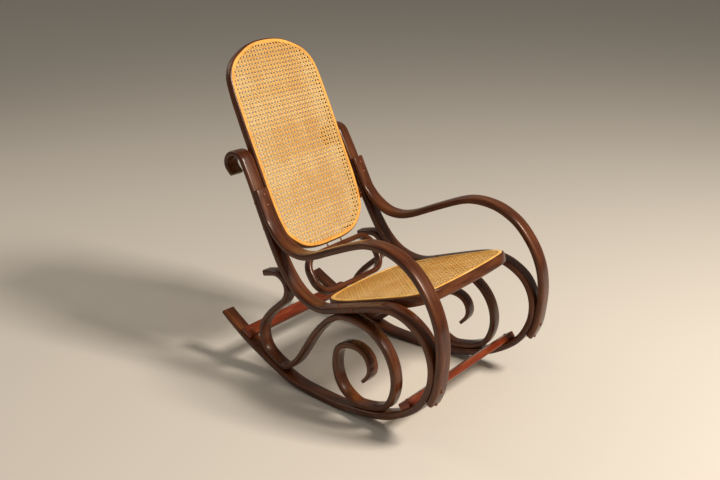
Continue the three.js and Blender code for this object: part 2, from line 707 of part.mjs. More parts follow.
function sideParts(side) {
  const name = sideName(side);
  const group = new THREE.Group();
  group.name = "side_" + name;
  group.applyMatrix4(sideMatrix(side));
  const screws = sideScrews();
  const rests = stretcherScrews();
  const bolts = [...seatBolts(side), ...hoopBolts(side)];
  const bores = screwBores([...screws, ...rests, ...bolts]);
  const screwedBores = screwBores(screws);
  const armLow = new THREE.BoxGeometry(PROFILE_DEPTH, PROFILE_DEPTH, PROFILE_HEIGHT);
  armLow.translate(0, 0, (ARM_END_SHARE - HALF) * PROFILE_HEIGHT);
  group.add(meshOf("side_frame_" + name, cut(frameBar(0), bores), bentwood()));
  const arm = cut(armBar(0), [frameBar(CLEARANCE), armLow, ...screwedBores]);
  const scroll = cut(scrollBar(0), [frameBar(CLEARANCE), ...screwedBores]);
  group.add(meshOf("arm_" + name, arm, bentwood()));
  group.add(meshOf("scroll_" + name, scroll, bentwood()));
  for (const screw of screwMeshes([...screws, ...rests, ...bolts], "_" + name)) {
    group.add(screw);
  }
  return group;
}

function inWorld(build) {
  return SIDES.flatMap((side) => build(side).map((geometry) => turned(geometry, sideMatrix(side))));
}
function framesGrown() {
  return inWorld(() => [frameBar(CLEARANCE)]);
}
function toLocal(geometries, matrix) {
  const back = matrix.clone().invert();
  return geometries.map((geometry) => turned(geometry, back));
}
function placed(name, geometry, surface, matrix) {
  const mesh = meshOf(name, geometry, surface);
  mesh.applyMatrix4(matrix);
  return mesh;
}

function backParts() {
  const outline = panelOutline();
  const hoopPlace = panelMatrix(CANE_THICKNESS + CLEARANCE);
  const bolts = inWorld((side) => screwBores(hoopBolts(side)));
  const hoop = hoopGeometry(outline, HOOP_RADIAL, HOOP_DEPTH, HOOP_BEVEL);
  const binding = bandGeometry(insetOutline(outline, CANE_MARGIN), BINDING_WIDTH, CANE_THICKNESS);
  const sheetOutline = insetOutline(outline, CANE_MARGIN + BINDING_WIDTH + CLEARANCE);
  const place = panelMatrix(0);
  const ringCut = toLocal(ringScrewBores(), hoopPlace);
  return [
    placed("back_hoop", cut(hoop, [...toLocal(bolts, hoopPlace), ...ringCut]), bentwood(), hoopPlace),
    placed("back_cane", plateGeometry(sheetOutline, CANE_THICKNESS), cane(), place),
    placed("back_binding", binding, caneBinding(), place),
    ...blockParts(hoopPlace, bolts),
  ];
}

// Blocks between the posts and the hoop.
function blockParts(hoopPlace, bolts) {
  const outline = panelOutline();
  const grownHoop = plateGeometry(insetOutline(outline, -CLEARANCE), HOOP_DEPTH + HOOP_DEPTH);
  grownHoop.translate(0, 0, HOOP_DEPTH * HALF);
  const frames = toLocal(framesGrown(), hoopPlace);
  const outerSides = toLocal(inWorld(() => [outsideOfFrame()]), hoopPlace);
  const parts = [];
  for (const side of SIDES) {
    blockShares.forEach((share, i) => {
      const rise = panelRiseOf(atDepth(FRAME, share, onPost).point);
      const block = new THREE.BoxGeometry(BLOCK_LENGTH, BLOCK_HEIGHT, BLOCK_DEPTH);
      block.translate(side * PANEL_HALF_WIDTH, rise, BLOCK_FORWARD - BLOCK_DEPTH * HALF);
      const cutters = [grownHoop, ...frames, ...outerSides, ...toLocal(bolts, hoopPlace)];
      const name = "hoop_block_" + sideName(side) + "_" + (i + 1);
      parts.push(placed(name, cut(block, cutters), bentwood(), hoopPlace));
    });
  }
  return parts;
}
// Everything outwards of a side's inner face, for cutting the blocks.
function outsideOfFrame() {
  const width = FRAME_WIDTH + CLEARANCE + CLEARANCE;
  return new THREE.BoxGeometry(width, PROFILE_DEPTH + PROFILE_DEPTH, PROFILE_HEIGHT + PROFILE_HEIGHT);
}

function seatParts() {
  const outline = seatOutline();
  const framePlace = seatMatrix(CANE_THICKNESS + CLEARANCE);
  const place = seatMatrix(0);
  const frames = toLocal(framesGrown(), framePlace);
  const bolts = toLocal(inWorld((side) => screwBores(seatBolts(side))), framePlace);
  const rim = hoopGeometry(outline, SEAT_RIM_WIDTH, SEAT_RIM_DEPTH, SEAT_BEVEL);
  const ringCut = toLocal(ringScrewBores(), framePlace);
  const binding = bandGeometry(insetOutline(outline, SEAT_CANE_MARGIN), BINDING_WIDTH, CANE_THICKNESS);
  const sheet = insetOutline(outline, SEAT_CANE_MARGIN + BINDING_WIDTH + CLEARANCE);
  return [
    placed("seat_frame", cut(rim, [...frames, ...bolts, ...ringCut]), bentwood(), framePlace),
    placed("seat_cane", plateGeometry(sheet, CANE_THICKNESS), cane(), place),
    placed("seat_binding", binding, caneBinding(), place),
  ];
}

// Ring: a closed rounded hoop between the seat's rear edge and the hoop's lower edge.
function ringOutline() {
  const shape = new THREE.Shape();
  const w = RING_HALF_WIDTH;
  const low = -RING_LOW;
  const high = RING_HEIGHT - RING_LOW;
  const r = RING_CORNER_RADIUS;
  shape.moveTo(-w + r, low);
  shape.lineTo(w - r, low);
  shape.absarc(w - r, low + r, r, -QUARTER_TURN, 0, false);
  shape.lineTo(w, high - r);
  shape.absarc(w - r, high - r, r, 0, QUARTER_TURN, false);
  shape.lineTo(-w + r, high);
  shape.absarc(-w + r, high - r, r, QUARTER_TURN, QUARTER_TURN + QUARTER_TURN, false);
  shape.lineTo(-w, low + r);
  shape.absarc(-w + r, low + r, r, -QUARTER_TURN - QUARTER_TURN, -QUARTER_TURN, false);
  const points = shape.getPoints(ROUND_STEPS).map((p) => new THREE.Vector3(p.x, p.y, 0));
  return points.filter((p, i) => i === 0 || p.distanceTo(points[i - 1]) > CLEARANCE);
}
function openLoop(points) {
  const closes = points[0].distanceTo(points[points.length - 1]) < CLEARANCE;
  return closes ? points.slice(0, -1) : points;
}
function ringScrew(name, position, outward) {
  return { name, length: RING_SCREW_LENGTH, place: placeAt(position, outward) };
}
function ringScrews() {
  const list = [];
  for (const side of SIDES) {
    const lowX = side * RING_HALF_WIDTH * ringSeatScrewShare;
    const low = new THREE.Vector3(lowX, RING_RADIAL - RING_LOW, 0).applyMatrix4(ringMatrix());
    const up = new THREE.Vector3(0, 1, 0).transformDirection(ringMatrix());
    list.push(ringScrew("ring_seat_screw_" + sideName(side), low, up));
    const highX = side * RING_HALF_WIDTH * ringHoopScrewShare;
    const rise = RING_HEIGHT - RING_LOW - RING_RADIAL;
    const high = new THREE.Vector3(highX, rise, 0).applyMatrix4(ringMatrix());
    list.push(ringScrew("ring_hoop_screw_" + sideName(side), high, up.clone().negate()));
  }
  return list;
}
function ringScrewBores() {
  return screwBores(ringScrews());
}
function ringParts() {
  const matrix = ringMatrix();
  const outline = openLoop(ringOutline());
  const ring = hoopGeometry(outline, RING_RADIAL, RING_DEPTH, RING_BEVEL);
  ring.translate(0, 0, RING_DEPTH * HALF);
  const seatPlate = plateGeometry(insetOutline(seatOutline(), -CLEARANCE), SEAT_RIM_DEPTH + SEAT_BEVEL);
  const seat = turned(seatPlate, seatMatrix(CANE_THICKNESS));
  const panelPlate = plateGeometry(insetOutline(panelOutline(), -CLEARANCE), HOOP_DEPTH + SEAT_BEVEL);
  const panel = turned(panelPlate, panelMatrix(-CLEARANCE));
  const cutters = toLocal([seat, panel, ...framesGrown(), ...ringScrewBores()], matrix);
  return [
    placed("lower_back_ring", cut(ring, cutters), bentwood(), matrix),
    ...screwMeshes(ringScrews(), ""),
  ];
}

// Cross rails that lie on the two side frames.
function stretcherPart(kind) {
  const at = stretcherSample(kind);
  const spread = HALF_SPREAD - (at.point.x * TOE_OFFSET) / TOE_RUN;
  const halfLength = spread - STRETCHER_END_INSET;
  const rise = (FRAME_THICKNESS + STRETCHER_THICKNESS) * HALF + CLEARANCE;
  const centre = at.point.clone().addScaledVector(at.normal, rise);
  const half = new THREE.Vector2(STRETCHER_BREADTH * HALF, STRETCHER_THICKNESS * HALF);
  half.subScalar(STRETCHER_BEVEL);
  const shape = new THREE.Shape([
    new THREE.Vector2(-half.x, -half.y), new THREE.Vector2(half.x, -half.y),
    new THREE.Vector2(half.x, half.y), new THREE.Vector2(-half.x, half.y),
  ]);
  const settings = {
    depth: halfLength + halfLength - STRETCHER_BEVEL - STRETCHER_BEVEL,
    bevelEnabled: true,
    bevelSize: STRETCHER_BEVEL,
    bevelThickness: STRETCHER_BEVEL,
    bevelSegments: CORNER_STEPS,
  };
  const bar = new THREE.ExtrudeGeometry(shape, settings);
  bar.translate(0, 0, STRETCHER_BEVEL - halfLength);
  const basis = new THREE.Matrix4().makeBasis(
    new THREE.Vector3(0, at.tangent.x, at.tangent.y),
    new THREE.Vector3(0, at.normal.x, at.normal.y),
    new THREE.Vector3(1, 0, 0),
  );
  const matrix = new THREE.Matrix4().makeTranslation(0, centre.x, centre.y).multiply(basis);
  const bores = inWorld(() => screwBores(stretcherScrews()));
  const cutters = toLocal([...framesGrown(), ...bores], matrix);
  return placed(kind + "_stretcher", cut(bar, cutters), bentwood(), matrix);
}

function chair() {
  const body = new THREE.Group();
  body.name = "chair_body";
  for (const side of SIDES) {
    body.add(sideParts(side));
  }
  for (const part of [...backParts(), ...seatParts(), ...ringParts()]) {
    body.add(part);
  }
  body.add(stretcherPart("front"));
  body.add(stretcherPart("rear"));
  body.updateMatrixWorld(true);
  const box = new THREE.Box3().setFromObject(body, true);
  body.position.set(-(box.min.x + box.max.x) * HALF, -(box.min.y + box.max.y) * HALF, -box.min.z);
  const root = new THREE.Group();
  root.name = "rocking_chair";
  root.add(body);
  return root;
}

export default chair();
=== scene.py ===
"""Looks of a bentwood rocking chair with a caned back and seat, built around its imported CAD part."""

import json
import logging
import math
from dataclasses import dataclass, field
from enum import Enum
from typing import Callable, Optional, Sequence

import bmesh
import bpy
import numpy as np
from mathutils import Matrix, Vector

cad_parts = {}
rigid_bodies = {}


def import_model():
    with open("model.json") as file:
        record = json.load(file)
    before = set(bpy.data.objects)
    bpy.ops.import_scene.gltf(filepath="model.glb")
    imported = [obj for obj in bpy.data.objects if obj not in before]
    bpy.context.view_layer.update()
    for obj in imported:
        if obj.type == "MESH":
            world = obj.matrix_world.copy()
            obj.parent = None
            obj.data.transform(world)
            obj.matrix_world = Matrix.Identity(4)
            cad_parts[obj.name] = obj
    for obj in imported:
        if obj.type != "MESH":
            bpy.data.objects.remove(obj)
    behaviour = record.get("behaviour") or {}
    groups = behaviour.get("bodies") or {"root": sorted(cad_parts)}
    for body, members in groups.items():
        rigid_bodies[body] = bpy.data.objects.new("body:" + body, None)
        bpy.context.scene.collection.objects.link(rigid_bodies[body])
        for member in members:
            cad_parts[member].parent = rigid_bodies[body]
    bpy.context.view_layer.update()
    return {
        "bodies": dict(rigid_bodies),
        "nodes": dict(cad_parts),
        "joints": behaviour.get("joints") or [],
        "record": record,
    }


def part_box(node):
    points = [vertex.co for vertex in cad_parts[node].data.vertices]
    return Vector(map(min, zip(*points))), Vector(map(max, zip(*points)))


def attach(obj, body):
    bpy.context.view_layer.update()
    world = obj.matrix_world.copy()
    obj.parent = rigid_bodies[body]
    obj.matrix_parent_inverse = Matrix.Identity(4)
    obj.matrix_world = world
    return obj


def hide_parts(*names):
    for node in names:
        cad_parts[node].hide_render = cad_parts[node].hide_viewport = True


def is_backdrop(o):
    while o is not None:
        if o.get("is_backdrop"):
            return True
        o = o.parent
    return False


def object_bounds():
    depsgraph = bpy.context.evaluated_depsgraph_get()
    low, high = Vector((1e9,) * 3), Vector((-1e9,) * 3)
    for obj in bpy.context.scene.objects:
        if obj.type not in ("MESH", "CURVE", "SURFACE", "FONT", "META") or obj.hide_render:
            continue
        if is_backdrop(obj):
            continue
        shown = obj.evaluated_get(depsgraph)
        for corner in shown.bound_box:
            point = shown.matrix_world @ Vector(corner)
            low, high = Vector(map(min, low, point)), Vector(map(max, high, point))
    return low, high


LOG = logging.getLogger("rocking_chair")
MM = 0.001
BODY = "root"

# Millimetres. The drawing's depth zero lies this far behind the middle of the chair.
ORIGIN_SHIFT = 15.97
HALF_SPREAD = 260.0
TOE_SLOPE = 0.0605
PROFILE_DEPTH = 1000.0
PROFILE_HEIGHT = 1000.0

# A corner radius is at most this share of a bar's thinner side.
CORNER_SHARE = 0.35

Pairs = Sequence[tuple[float, float]]
Placer = Callable[[np.ndarray], np.ndarray]


class Side(Enum):
    """The sitter's two sides."""

    LEFT = 1
    RIGHT = -1

    @property
    def label(self) -> str:
        """Lower-case name of the side."""
        return self.name.lower()


class Tone(Enum):
    """Stain of a bentwood piece."""

    DARK = "dark"
    RED = "red"


class Rail(Enum):
    """The two cross rails."""

    FRONT = "front"
    REAR = "rear"


RAIL_HALF_LENGTHS = {Rail.FRONT: 275.4, Rail.REAR: 235.5}


# ---- drawing of the side ----

CURL_AND_POST_SHARES = (
    (0.364, 0.624), (0.379, 0.6355), (0.3875, 0.6455), (0.3895, 0.6565), (0.3868, 0.6685),
    (0.3797, 0.6787), (0.3677, 0.6868), (0.3554, 0.6907), (0.3425, 0.6905), (0.3299, 0.687),
    (0.3195, 0.6775), (0.3117, 0.6613), (0.2993, 0.6403), (0.2791, 0.6001), (0.2604, 0.56),
    (0.2418, 0.5199), (0.2216, 0.4809), (0.2009, 0.4419), (0.1797, 0.4049), (0.1575, 0.3709),
    (0.1328, 0.3421), (0.1049, 0.3184), (0.0771, 0.3047), (0.0513, 0.2975), (0.0287, 0.2944),
    (0.0081, 0.2947),
)
RAIL_AND_LOOP_SHARES = (
    (-0.0125, 0.2985), (-0.0351, 0.3059), (-0.0721, 0.3195), (-0.1131, 0.3337), (-0.1541, 0.3473),
    (-0.1889, 0.3593), (-0.2216, 0.3688), (-0.2482, 0.3722), (-0.2727, 0.3705), (-0.2962, 0.3659),
    (-0.3181, 0.3567), (-0.3385, 0.345), (-0.3574, 0.3308), (-0.3726, 0.313), (-0.3843, 0.2922),
    (-0.392, 0.2708), (-0.3961, 0.2479), (-0.3961, 0.2249), (-0.3935, 0.2018), (-0.3864, 0.1787),
    (-0.3757, 0.1546), (-0.3619, 0.1318), (-0.3462, 0.1135), (-0.3288, 0.0992), (-0.311, 0.0859),
    (-0.2931, 0.0746), (-0.2737, 0.0637), (-0.2543, 0.0538), (-0.2329, 0.0454), (-0.2124, 0.038),
    (-0.1848, 0.031),
)
ROCKER_FRONT_SHARES = (
    (-0.15, 0.0243), (-0.111, 0.0184), (-0.0782, 0.0145),
)
ROCKER_REAR_SHARES = (
    (0.06, 0.0114), (0.0884, 0.013), (0.1152, 0.0154), (0.1369, 0.0197), (0.158, 0.0256),
    (0.1787, 0.0327), (0.1994, 0.0406), (0.2206, 0.0486), (0.2413, 0.0568), (0.262, 0.0652),
    (0.2827, 0.0741), (0.3029, 0.0827), (0.3236, 0.0917), (0.3433, 0.1008), (0.3631, 0.1113),
    (0.3828, 0.1224), (0.402, 0.1334), (0.4213, 0.1449), (0.44, 0.1572),
)
ARM_SHARES = (
    (0.2118, 0.5001), (0.1958, 0.4797), (0.1741, 0.4613), (0.1524, 0.448), (0.1297, 0.4388),
    (0.108, 0.436), (0.0863, 0.4361), (0.0663, 0.4396), (0.0441, 0.4464), (0.0184, 0.4568),
    (-0.0156, 0.4739), (-0.0567, 0.4925), (-0.0987, 0.5116), (-0.1387, 0.5281), (-0.1643, 0.5349),
    (-0.1879, 0.5377), (-0.2114, 0.5375), (-0.2339, 0.5353), (-0.2574, 0.5305), (-0.2788, 0.5228),
    (-0.2998, 0.5125), (-0.3202, 0.4998), (-0.338, 0.485), (-0.3533, 0.4687), (-0.3675, 0.4514),
    (-0.3808, 0.4326), (-0.392, 0.4132), (-0.4011, 0.3929), (-0.4093, 0.3715), (-0.4149, 0.3501),
    (-0.4184, 0.3277), (-0.421, 0.3002), (-0.4208, 0.2722), (-0.4184, 0.2472),
)
SCROLL_HOOK_SHARES = (
    (0.2454, 0.342), (0.2216, 0.3489), (0.1989, 0.3562), (0.1751, 0.3516), (0.1539, 0.3353),
    (0.1462, 0.3087), (0.1565, 0.2813), (0.173, 0.2645), (0.1901, 0.2506), (0.2071, 0.2347),
    (0.2237, 0.2198), (0.2376, 0.2035), (0.2511, 0.1861), (0.2604, 0.1688), (0.2646, 0.1501),
    (0.2635, 0.127), (0.2573, 0.1064), (0.247, 0.0909), (0.2335, 0.0786),
)
SCROLL_RISE_SHARES = (
    (0.1596, 0.0563), (0.1384, 0.0704), (0.1111, 0.0974), (0.0987, 0.1164), (0.0858, 0.1351),
    (0.0735, 0.1544), (0.0621, 0.1732), (0.0498, 0.1925), (0.0371, 0.2093), (0.0232, 0.2273),
    (0.0088, 0.2434), (-0.0066, 0.2581), (-0.0212, 0.2725),
)
SCROLL_LOOP_SHARES = (
    (-0.0905, 0.2997), (-0.1075, 0.3007), (-0.13, 0.2994), (-0.1531, 0.2955), (-0.1766, 0.2887),
    (-0.1981, 0.2773), (-0.217, 0.2632), (-0.2335, 0.2463), (-0.2469, 0.2267), (-0.2572, 0.2049),
    (-0.2635, 0.1823), (-0.2661, 0.1592), (-0.2645, 0.1356), (-0.2584, 0.1117), (-0.2482, 0.0893),
    (-0.2337, 0.0712),
)
SCROLL_SPIRAL_SHARES = (
    (-0.108, 0.0491), (-0.0895, 0.0578), (-0.0731, 0.0699), (-0.0606, 0.0857), (-0.0523, 0.1028),
    (-0.0467, 0.122), (-0.0443, 0.1423), (-0.0464, 0.165), (-0.051, 0.1868), (-0.0608, 0.2009),
    (-0.0746, 0.2112), (-0.0931, 0.2171), (-0.1192, 0.2219), (-0.1449, 0.2168), (-0.1631, 0.2048),
    (-0.1735, 0.1897), (-0.1789, 0.1692), (-0.1756, 0.1501), (-0.1653, 0.1359), (-0.1531, 0.1237),
)


@dataclass
class Path:
    """Points along a bar with their running length, direction and normal, in the side's plane."""

    points: np.ndarray
    run: np.ndarray
    tangent: np.ndarray
    normal: np.ndarray

    @property
    def length(self) -> float:
        """Whole length of the path."""
        return float(self.run[-1])


def spline(control: np.ndarray, per_point: int = 24) -> Path:
    """Clamped uniform cubic B-spline of a set of control points.

    Args:
        control: Points (n, 2) in millimetres.
        per_point: Samples for each control point.

    Returns:
        The sampled path.
    """
    degree = 3
    count = len(control)
    inner = count - degree
    knots = np.clip(np.arange(count + degree + 1) - degree, 0, inner).astype(float)
    samples = np.linspace(0.0, inner, count * per_point + 1)
    span = np.clip(np.floor(samples).astype(int), 0, inner - 1) + degree
    layers = [control[span - degree + j] for j in range(degree + 1)]
    for level in range(1, degree + 1):
        for j in range(degree, level - 1, -1):
            low = knots[span - degree + j]
            high = knots[span + 1 + j - level]
            part = ((samples - low) / (high - low))[:, None]
            layers[j] = (1 - part) * layers[j - 1] + part * layers[j]
    points = layers[degree]
    steps = np.linalg.norm(np.diff(points, axis=0), axis=1)
    run = np.concatenate([[0.0], np.cumsum(steps)])
    tangent = np.gradient(points, axis=0)
    tangent /= np.linalg.norm(tangent, axis=1)[:, None]
    normal = np.stack([-tangent[:, 1], tangent[:, 0]], axis=1)
    return Path(points, run, tangent, normal)


def drawn(shares: Pairs) -> np.ndarray:
    """Points of the drawing in millimetres."""
    return np.array(shares) * (PROFILE_DEPTH, PROFILE_HEIGHT)


@dataclass
class SideDrawing:
    """Centre lines of the three bent bars of a side, and the places where they meet."""

    frame_thickness: float = 21.0
    post_thickness: float = 17.0
    arm_thickness: float = 20.0
    arm_lap_thickness: float = 14.0
    scroll_thickness: float = 18.0
    clearance: float = 0.3
    foot_centre: float = -14.0
    foot_length: float = 40.0
    post_lap: tuple[float, float] = (275.0, 229.9)
    loop_lap: tuple[float, float] = (212.0, 135.0)
    small_rest: tuple[float, float] = (214.4, 185.4)
    rail_rest: tuple[float, float] = (-47.4, -63.8)
    rocker_rest: tuple[float, float] = (-195.0, -130.5)
    post_heights: tuple[float, float] = (420.0, 660.0)
    loop_depth: float = -330.0
    rocker_top: float = 160.0
    rail_low: float = 280.0
    rear_rail_depth: float = 338.0
    front_rail_height: float = 94.0
    front_rail_limit: float = -160.0
    frame: Path = field(init=False)
    arm: Path = field(init=False)
    scroll: Path = field(init=False)

    def __post_init__(self) -> None:
        """Draws the three centre lines."""
        self.frame = self._frame()
        self.arm = self._arm()
        self.scroll = self._scroll()

    def _frame(self) -> Path:
        """Centre line of the frame, flat for a short way where it stands on the floor.

        Returns:
            The sampled path.
        """
        steps = np.arange(-2, 3) * self.foot_length / 2 + self.foot_centre
        foot = np.stack([steps, np.full(len(steps), self.frame_thickness / 2)], axis=1)
        front = [drawn(CURL_AND_POST_SHARES), drawn(RAIL_AND_LOOP_SHARES), drawn(ROCKER_FRONT_SHARES)]
        return spline(np.concatenate([*front, foot, drawn(ROCKER_REAR_SHARES)]))

    def _nearest(self, axis: int, value: float, zone: np.ndarray) -> int:
        """Index of the frame sample in a zone whose coordinate is nearest to a value."""
        off = np.abs(self.frame.points[:, axis] - value)
        return int(np.where(zone, off, np.inf).argmin())

    def post_zone(self) -> np.ndarray:
        """Samples on the rear post.

        Returns:
            True for each sample on it.
        """
        height = self.frame.points[:, 1]
        low, high = self.post_heights
        return (height > low) & (height < high) & (self.frame.tangent[:, 1] < 0)

    def loop_zone(self) -> np.ndarray:
        """Samples on the front loop."""
        return (self.frame.points[:, 0] < self.loop_depth) & (self.frame.tangent[:, 1] < 0)

    def rocker_zone(self) -> np.ndarray:
        """Samples on the rocker."""
        return self.frame.points[:, 1] < self.rocker_top

    def rail_zone(self) -> np.ndarray:
        """Samples on the seat rail."""
        return (self.frame.points[:, 1] > self.rail_low) & (self.frame.tangent[:, 0] < 0)

    def beside(
        self, axis: int, ends: tuple[float, float], zone: np.ndarray, offset: float, count: int
    ) -> np.ndarray:
        """Points that follow the frame at a fixed offset.

        Args:
            axis: 0 to find the ends by depth, 1 by height.
            ends: Coordinates of the two ends, in millimetres.
            zone: Samples among which the ends are looked for.
            offset: Distance along the frame's normal.
            count: Number of points.

        Returns:
            Points (count, 2) in millimetres.
        """
        first, last = (self.frame.run[self._nearest(axis, end, zone)] for end in ends)
        runs = np.linspace(first, last, count)
        index = [int(np.abs(self.frame.run - run).argmin()) for run in runs]
        return self.frame.points[index] + self.frame.normal[index] * offset

    def _arm(self) -> Path:
        """Centre line of the arm, lapped on the post and on the front loop.

        Returns:
            The sampled path.
        """
        post = -(self.post_thickness + self.arm_lap_thickness) / 2 - self.clearance
        loop = -(self.frame_thickness + self.arm_thickness) / 2 - self.clearance
        top = self.beside(0, self.post_lap, self.post_zone(), post, 5)
        low = self.beside(1, self.loop_lap, self.loop_zone(), loop, 5)
        return spline(np.concatenate([top, drawn(ARM_SHARES), low]))

    def _scroll(self) -> Path:
        """Centre line of the scroll, resting on the rocker twice and under the rail once.

        Returns:
            The sampled path.
        """
        offset = (self.frame_thickness + self.scroll_thickness) / 2 + self.clearance
        return spline(
            np.concatenate(
                [
                    drawn(SCROLL_HOOK_SHARES),
                    self.beside(0, self.small_rest, self.rocker_zone(), offset, 3),
                    drawn(SCROLL_RISE_SHARES),
                    self.beside(0, self.rail_rest, self.rail_zone(), offset, 3),
                    drawn(SCROLL_LOOP_SHARES),
                    self.beside(0, self.rocker_rest, self.rocker_zone(), offset, 3),
                    drawn(SCROLL_SPIRAL_SHARES),
                ]
            )
        )

    def at_rest_of(self, rail: Rail) -> int:
        """Index of the frame sample that carries a cross rail.

        Args:
            rail: Which rail.

        Returns:
            The sample's index.
        """
        if rail is Rail.REAR:
            return self._nearest(0, self.rear_rail_depth, self.rocker_zone())
        zone = (self.frame.points[:, 0] < self.front_rail_limit) & (self.frame.tangent[:, 1] < 0)
        return self._nearest(1, self.front_rail_height, zone)


# ---- meshes ----


def section(width: float, thickness: float, radius: float, steps: int = 5) -> np.ndarray:
    """Rounded rectangle, as offsets across and through a bar.

    Args:
        width: Size across the bar.
        thickness: Size through the bar.
        radius: Corner radius.
        steps: Points on each corner.

    Returns:
        Points (4 * steps, 2).
    """
    radius = min(radius, thickness * CORNER_SHARE, width * CORNER_SHARE)
    angles = np.linspace(0, math.pi / 2, steps)
    corners = []
    for quarter, (sx, sy) in enumerate(((1, 1), (-1, 1), (-1, -1), (1, -1))):
        turn = angles + quarter * math.pi / 2
        centre = np.array([sx * (width / 2 - radius), sy * (thickness / 2 - radius)])
        corners.append(centre + radius * np.stack([np.cos(turn), np.sin(turn)], axis=1))
    return np.concatenate(corners)


def mesh_object(
    name: str, verts: np.ndarray, faces: list[tuple[int, ...]], loop_uv: Optional[np.ndarray] = None
) -> bpy.types.Object:
    """Smooth-shaded mesh object in metres.

    Args:
        name: Object name.
        verts: Points (n, 3) in millimetres.
        faces: Vertex indices of each face.
        loop_uv: UV of each face corner in turn, in metres.

    Returns:
        The linked object.
    """
    mesh = bpy.data.meshes.new(name)
    mesh.from_pydata((verts * MM).tolist(), [], faces)
    mesh.polygons.foreach_set("use_smooth", [True] * len(mesh.polygons))
    if loop_uv is not None:
        mesh.uv_layers.new(name="grain").data.foreach_set("uv", loop_uv.astype(np.float32).ravel())
    mesh.update()
    obj = bpy.data.objects.new(name, mesh)
    bpy.context.scene.collection.objects.link(obj)
    return obj


@dataclass
class BentBar:
    """Bar with a rounded section, carried along a plane path and eased at its ends.

    A ring of points is set at each turn of the path, in radians, or at each step, in millimetres.
    """

    width: float
    thickness: Callable[[float], float]
    radius: float = 6.5
    turn: float = 0.07
    step: float = 22.0
    end_ease: float = 1.4
    ease_shares: tuple[float, ...] = (1.0, 0.55, 0.25, 0.07)

    def rings(self, path: Path) -> list[int]:
        """Chooses the samples that get a ring of points.

        Args:
            path: Centre line.

        Returns:
            Indices of the samples.
        """
        chosen = [0]
        for i in range(1, len(path.run)):
            last = chosen[-1]
            bend = math.acos(min(1.0, float(path.tangent[last] @ path.tangent[i])))
            if bend >= self.turn or path.run[i] - path.run[last] >= self.step:
                chosen.append(i)
        if chosen[-1] != len(path.run) - 1:
            chosen.append(len(path.run) - 1)
        return chosen

    def build(self, name: str, path: Path, place: Placer) -> bpy.types.Object:
        """Builds the bar's mesh.

        Args:
            name: Object name.
            path: Centre line in the side's plane.
            place: Takes points (n, 3) of the side's own frame to the chair's frame.

        Returns:
            The linked object, with its UV running along and around the bar.
        """
        ring_list = self._ring_table(path)
        verts, along, around = [], [], []
        for index, inset in ring_list:
            thickness = self.thickness(path.run[index])
            outline = section(self.width - 2 * inset, thickness - 2 * inset, self.radius - inset / 2)
            shift = self._end_shift(path, index, inset)
            centre = path.points[index] + path.tangent[index] * shift
            through = centre + outline[:, 1:] * path.normal[index]
            verts.append(np.column_stack([outline[:, 0], through]))
            along.append(path.run[index] + shift)
            sides = np.linalg.norm(np.diff(outline, axis=0, append=outline[:1]), axis=1)
            around.append(np.concatenate([[0.0], np.cumsum(sides)]))
        size = len(verts[0])
        faces, uv = [], []
        for r in range(len(verts) - 1):
            for i in range(size):
                j = (i + 1) % size
                faces.append((r * size + i, r * size + j, (r + 1) * size + j, (r + 1) * size + i))
                uv += [(along[r], around[r][i]), (along[r], around[r][i + 1])]
                uv += [(along[r + 1], around[r + 1][i + 1]), (along[r + 1], around[r + 1][i])]
        last = (len(verts) - 1) * size
        faces.append(tuple(range(size))[::-1])
        faces.append(tuple(last + i for i in range(size)))
        uv += [(v[0], v[2]) for v in verts[0]][::-1] + [(v[0], v[2]) for v in verts[-1]]
        return mesh_object(name, place(np.concatenate(verts)), faces, np.array(uv) * MM)

    def _ring_table(self, path: Path) -> list[tuple[int, float]]:
        """Samples with the inset of their ring: those at each end round the edge.

        Args:
            path: Centre line.

        Returns:
            Pairs of sample index and inset in millimetres.
        """
        chosen = self.rings(path)
        rounding = [self.end_ease * share for share in self.ease_shares]
        start = [(chosen[0], inset) for inset in rounding]
        end = [(chosen[-1], inset) for inset in reversed(rounding)]
        return start + [(i, 0.0) for i in chosen] + end

    def _end_shift(self, path: Path, index: int, inset: float) -> float:
        """How far an end ring is moved along the bar, so that the rounded edge keeps its length.

        Args:
            path: Centre line.
            index: Sample of the ring.
            inset: Inset of the ring.

        Returns:
            The shift in millimetres, zero between the ends.
        """
        ease = self.end_ease
        depth = ease - math.sqrt(ease**2 - (ease - inset) ** 2)
        if index == 0:
            return depth
        return -depth if index == len(path.run) - 1 else 0.0


def outward(obj: bpy.types.Object) -> bpy.types.Object:
    """Turns the faces of a closed mesh outwards.

    Args:
        obj: The mesh object.

    Returns:
        The same object.
    """
    work = bmesh.new()
    work.from_mesh(obj.data)
    bmesh.ops.recalc_face_normals(work, faces=work.faces)
    work.to_mesh(obj.data)
    work.free()
    return obj


def tapered(length: float, start: Pairs, end: Pairs) -> Callable[[float], float]:
    """Thickness that changes evenly between stops.

    Args:
        length: Whole length of the bar.
        start: Distance from the bar's start and thickness, in rising order.
        end: Distance from the bar's end and thickness, in falling order.

    Returns:
        Thickness as a function of the running length.
    """
    runs, sizes = zip(*start, *((length - back, size) for back, size in end))
    return lambda run: float(np.interp(run, runs, sizes))


def side_place(side: Side, width: float) -> Placer:
    """Takes the side's own frame to the chair's frame.

    Args:
        side: Which side.
        width: Width of the side frame, whose middle is the own frame's x = 0.

    Returns:
        A function of points (n, 3).
    """
    angle = side.value * math.atan(TOE_SLOPE)

    def place(points: np.ndarray) -> np.ndarray:
        """Turns and moves the points.

        Args:
            points: Points (n, 3) in millimetres.

        Returns:
            The points in the chair's frame.
        """
        x = points[:, 0] - side.value * width / 2
        y = points[:, 1]
        turned_x = x * math.cos(angle) - y * math.sin(angle) + side.value * HALF_SPREAD
        turned_y = x * math.sin(angle) + y * math.cos(angle) - ORIGIN_SHIFT
        return np.stack([turned_x, turned_y, points[:, 2]], axis=1)

    return place


